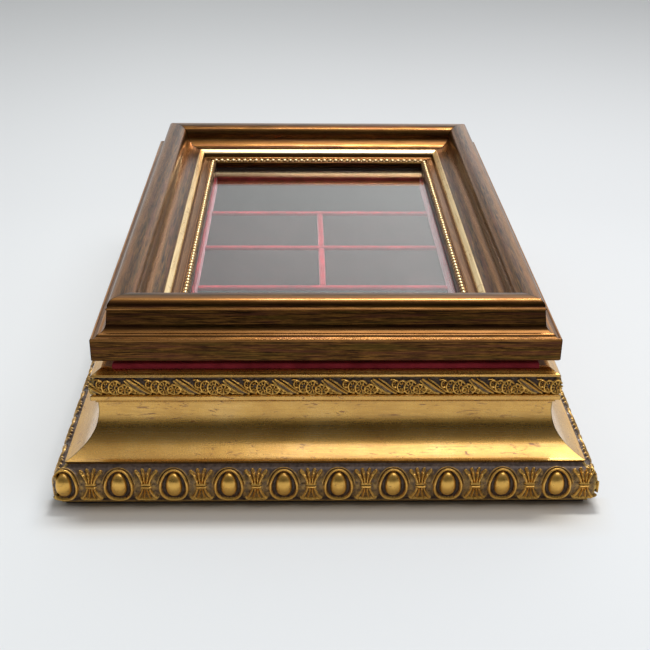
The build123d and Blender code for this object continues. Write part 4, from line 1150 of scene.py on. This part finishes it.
floor_mat, nt, bs = mat("pale_floor")
fl_v = coords(nt, (1, 1, 1))
fl_n = noise(nt, fl_v, 1.2, 2.0, 0.5)
sp_ = nt.nodes.new("ShaderNodeSeparateXYZ")
nt.links.new(fl_v, sp_.inputs[0])
pale = ramp(nt, fl_n, [(0.3, (0.60, 0.612, 0.616)), (0.7, (0.62, 0.632, 0.636))]).outputs[0]
# the floor is painted paler towards the front and the left: painted light making up for the lamps' falloff there
front_ = maprange(nt, sp_.outputs[1], -0.20, 0.25, 0.65, 0.0)
left_ = maprange(nt, sp_.outputs[0], -0.20, 0.10, 0.40, 0.0)
pale = mixc(nt, math_(nt, "ADD", front_, left_, True), pale, (0.715, 0.735, 0.735))
# warm light thrown back by the gilding on to the strip of floor along the front
warm = math_(nt, "MULTIPLY", maprange(nt, sp_.outputs[1], -0.205, -0.176, 0.0, 1.0), maprange(nt, math_(nt, "ABSOLUTE", sp_.outputs[0]), 0.115, 0.145, 1.0, 0.0))
warm = math_(nt, "MULTIPLY", warm, maprange(nt, sp_.outputs[1], -0.170, -0.172, 0.0, 1.0))
pale = mixc(nt, math_(nt, "MULTIPLY", warm, 0.85), pale, (0.58, 0.50, 0.37))
# the floor is painted dark towards the camera: painted shade for the unlit camera side, which the front faces reflect
near_edge = maprange(nt, sp_.outputs[1], -0.62, -0.40, 1.0, 0.0)
nt.links.new(mixc(nt, near_edge, pale, (0.16, 0.155, 0.15)), bs.inputs["Base Color"])
bs.inputs["Roughness"].default_value = 0.75
bs.inputs["Specular IOR Level"].default_value = 0.2
fl = bpy.data.meshes.new("studio_floor")
fl.from_pydata([(-6, -6, 0), (6, -6, 0), (6, 6, 0), (-6, 6, 0)], [], [(0, 1, 2, 3)])
fl.materials.append(floor_mat)
floor = bpy.data.objects.new("studio_floor", fl)
bpy.context.scene.collection.objects.link(floor)

world = bpy.data.worlds.new("studio")
bpy.context.scene.world = world
world.use_nodes = True
nt = world.node_tree
nt.nodes.clear()
wo = nt.nodes.new("ShaderNodeOutputWorld")
bg = nt.nodes.new("ShaderNodeBackground")
nt.links.new(bg.outputs[0], wo.inputs[0])
tc = nt.nodes.new("ShaderNodeTexCoord")
dp = nt.nodes.new("ShaderNodeVectorMath")
dp.operation = "DOT_PRODUCT"
nt.links.new(tc.outputs["Generated"], dp.inputs[0])
dp.inputs[1].default_value = (0.0, 0.866, 0.5)
side = nt.nodes.new("ShaderNodeSeparateXYZ")
nt.links.new(tc.outputs["Generated"], side.inputs[0])
wr = ramp(nt, maprange(nt, dp.outputs["Value"], -1.0, 1.0, 0.0, 1.0),
          [(0.067, grey(0.035)), (0.18, grey(0.045)), (0.25, grey(0.11)), (0.413, grey(0.14)), (0.50, grey(0.20)), (0.60, grey(0.34)), (0.75, grey(0.50)),
           (0.883, (0.75, 0.755, 0.76)), (0.97, (0.96, 0.965, 0.965)), (1.0, (0.98, 0.99, 0.985))])
nt.links.new(wr.outputs[0], bg.inputs[0])
rear = maprange(nt, dp.outputs["Value"], 0.80, 0.96, 0.0, 1.0)
tilt = maprange(nt, side.outputs[0], -0.09, 0.13, 0.74, 1.25)
broad = maprange(nt, side.outputs[0], -0.6, 0.6, 0.92, 1.08)
tilt = math_(nt, "ADD", math_(nt, "MULTIPLY", tilt, rear), math_(nt, "MULTIPLY", broad, math_(nt, "SUBTRACT", 1.0, rear)))
nt.links.new(tilt, bg.inputs[1])


def area(name, loc, target, size, power, color=(1, 1, 1)):
    ld = bpy.data.lights.new(name, "AREA")
    ld.shape = "RECTANGLE"
    ld.size, ld.size_y = size
    ld.energy = power
    ld.color = color
    ob = bpy.data.objects.new(name, ld)
    ob.location = loc
    d = (Vector(target) - Vector(loc)).normalized()
    ob.rotation_euler = d.to_track_quat("-Z", "Y").to_euler()
    bpy.context.scene.collection.objects.link(ob)
    return ob


# large softbox overhead and to the right; compact lamp above and behind, which throws the short shadow in front
area("overhead_softbox", (0.425, -0.25, 1.25), (0.425, -0.2499, 0.0), (0.95, 0.78), 5.2, (0.955, 0.95, 1.02))
area("rear_lamp", (0.15, 0.325, 1.25), (0.15, -0.15, 0.05), (0.42, 0.11), 11.5, (0.98, 0.99, 1.0))

sc = bpy.context.scene
sc.view_settings.view_transform = "Standard"
sc.view_settings.look = "None"
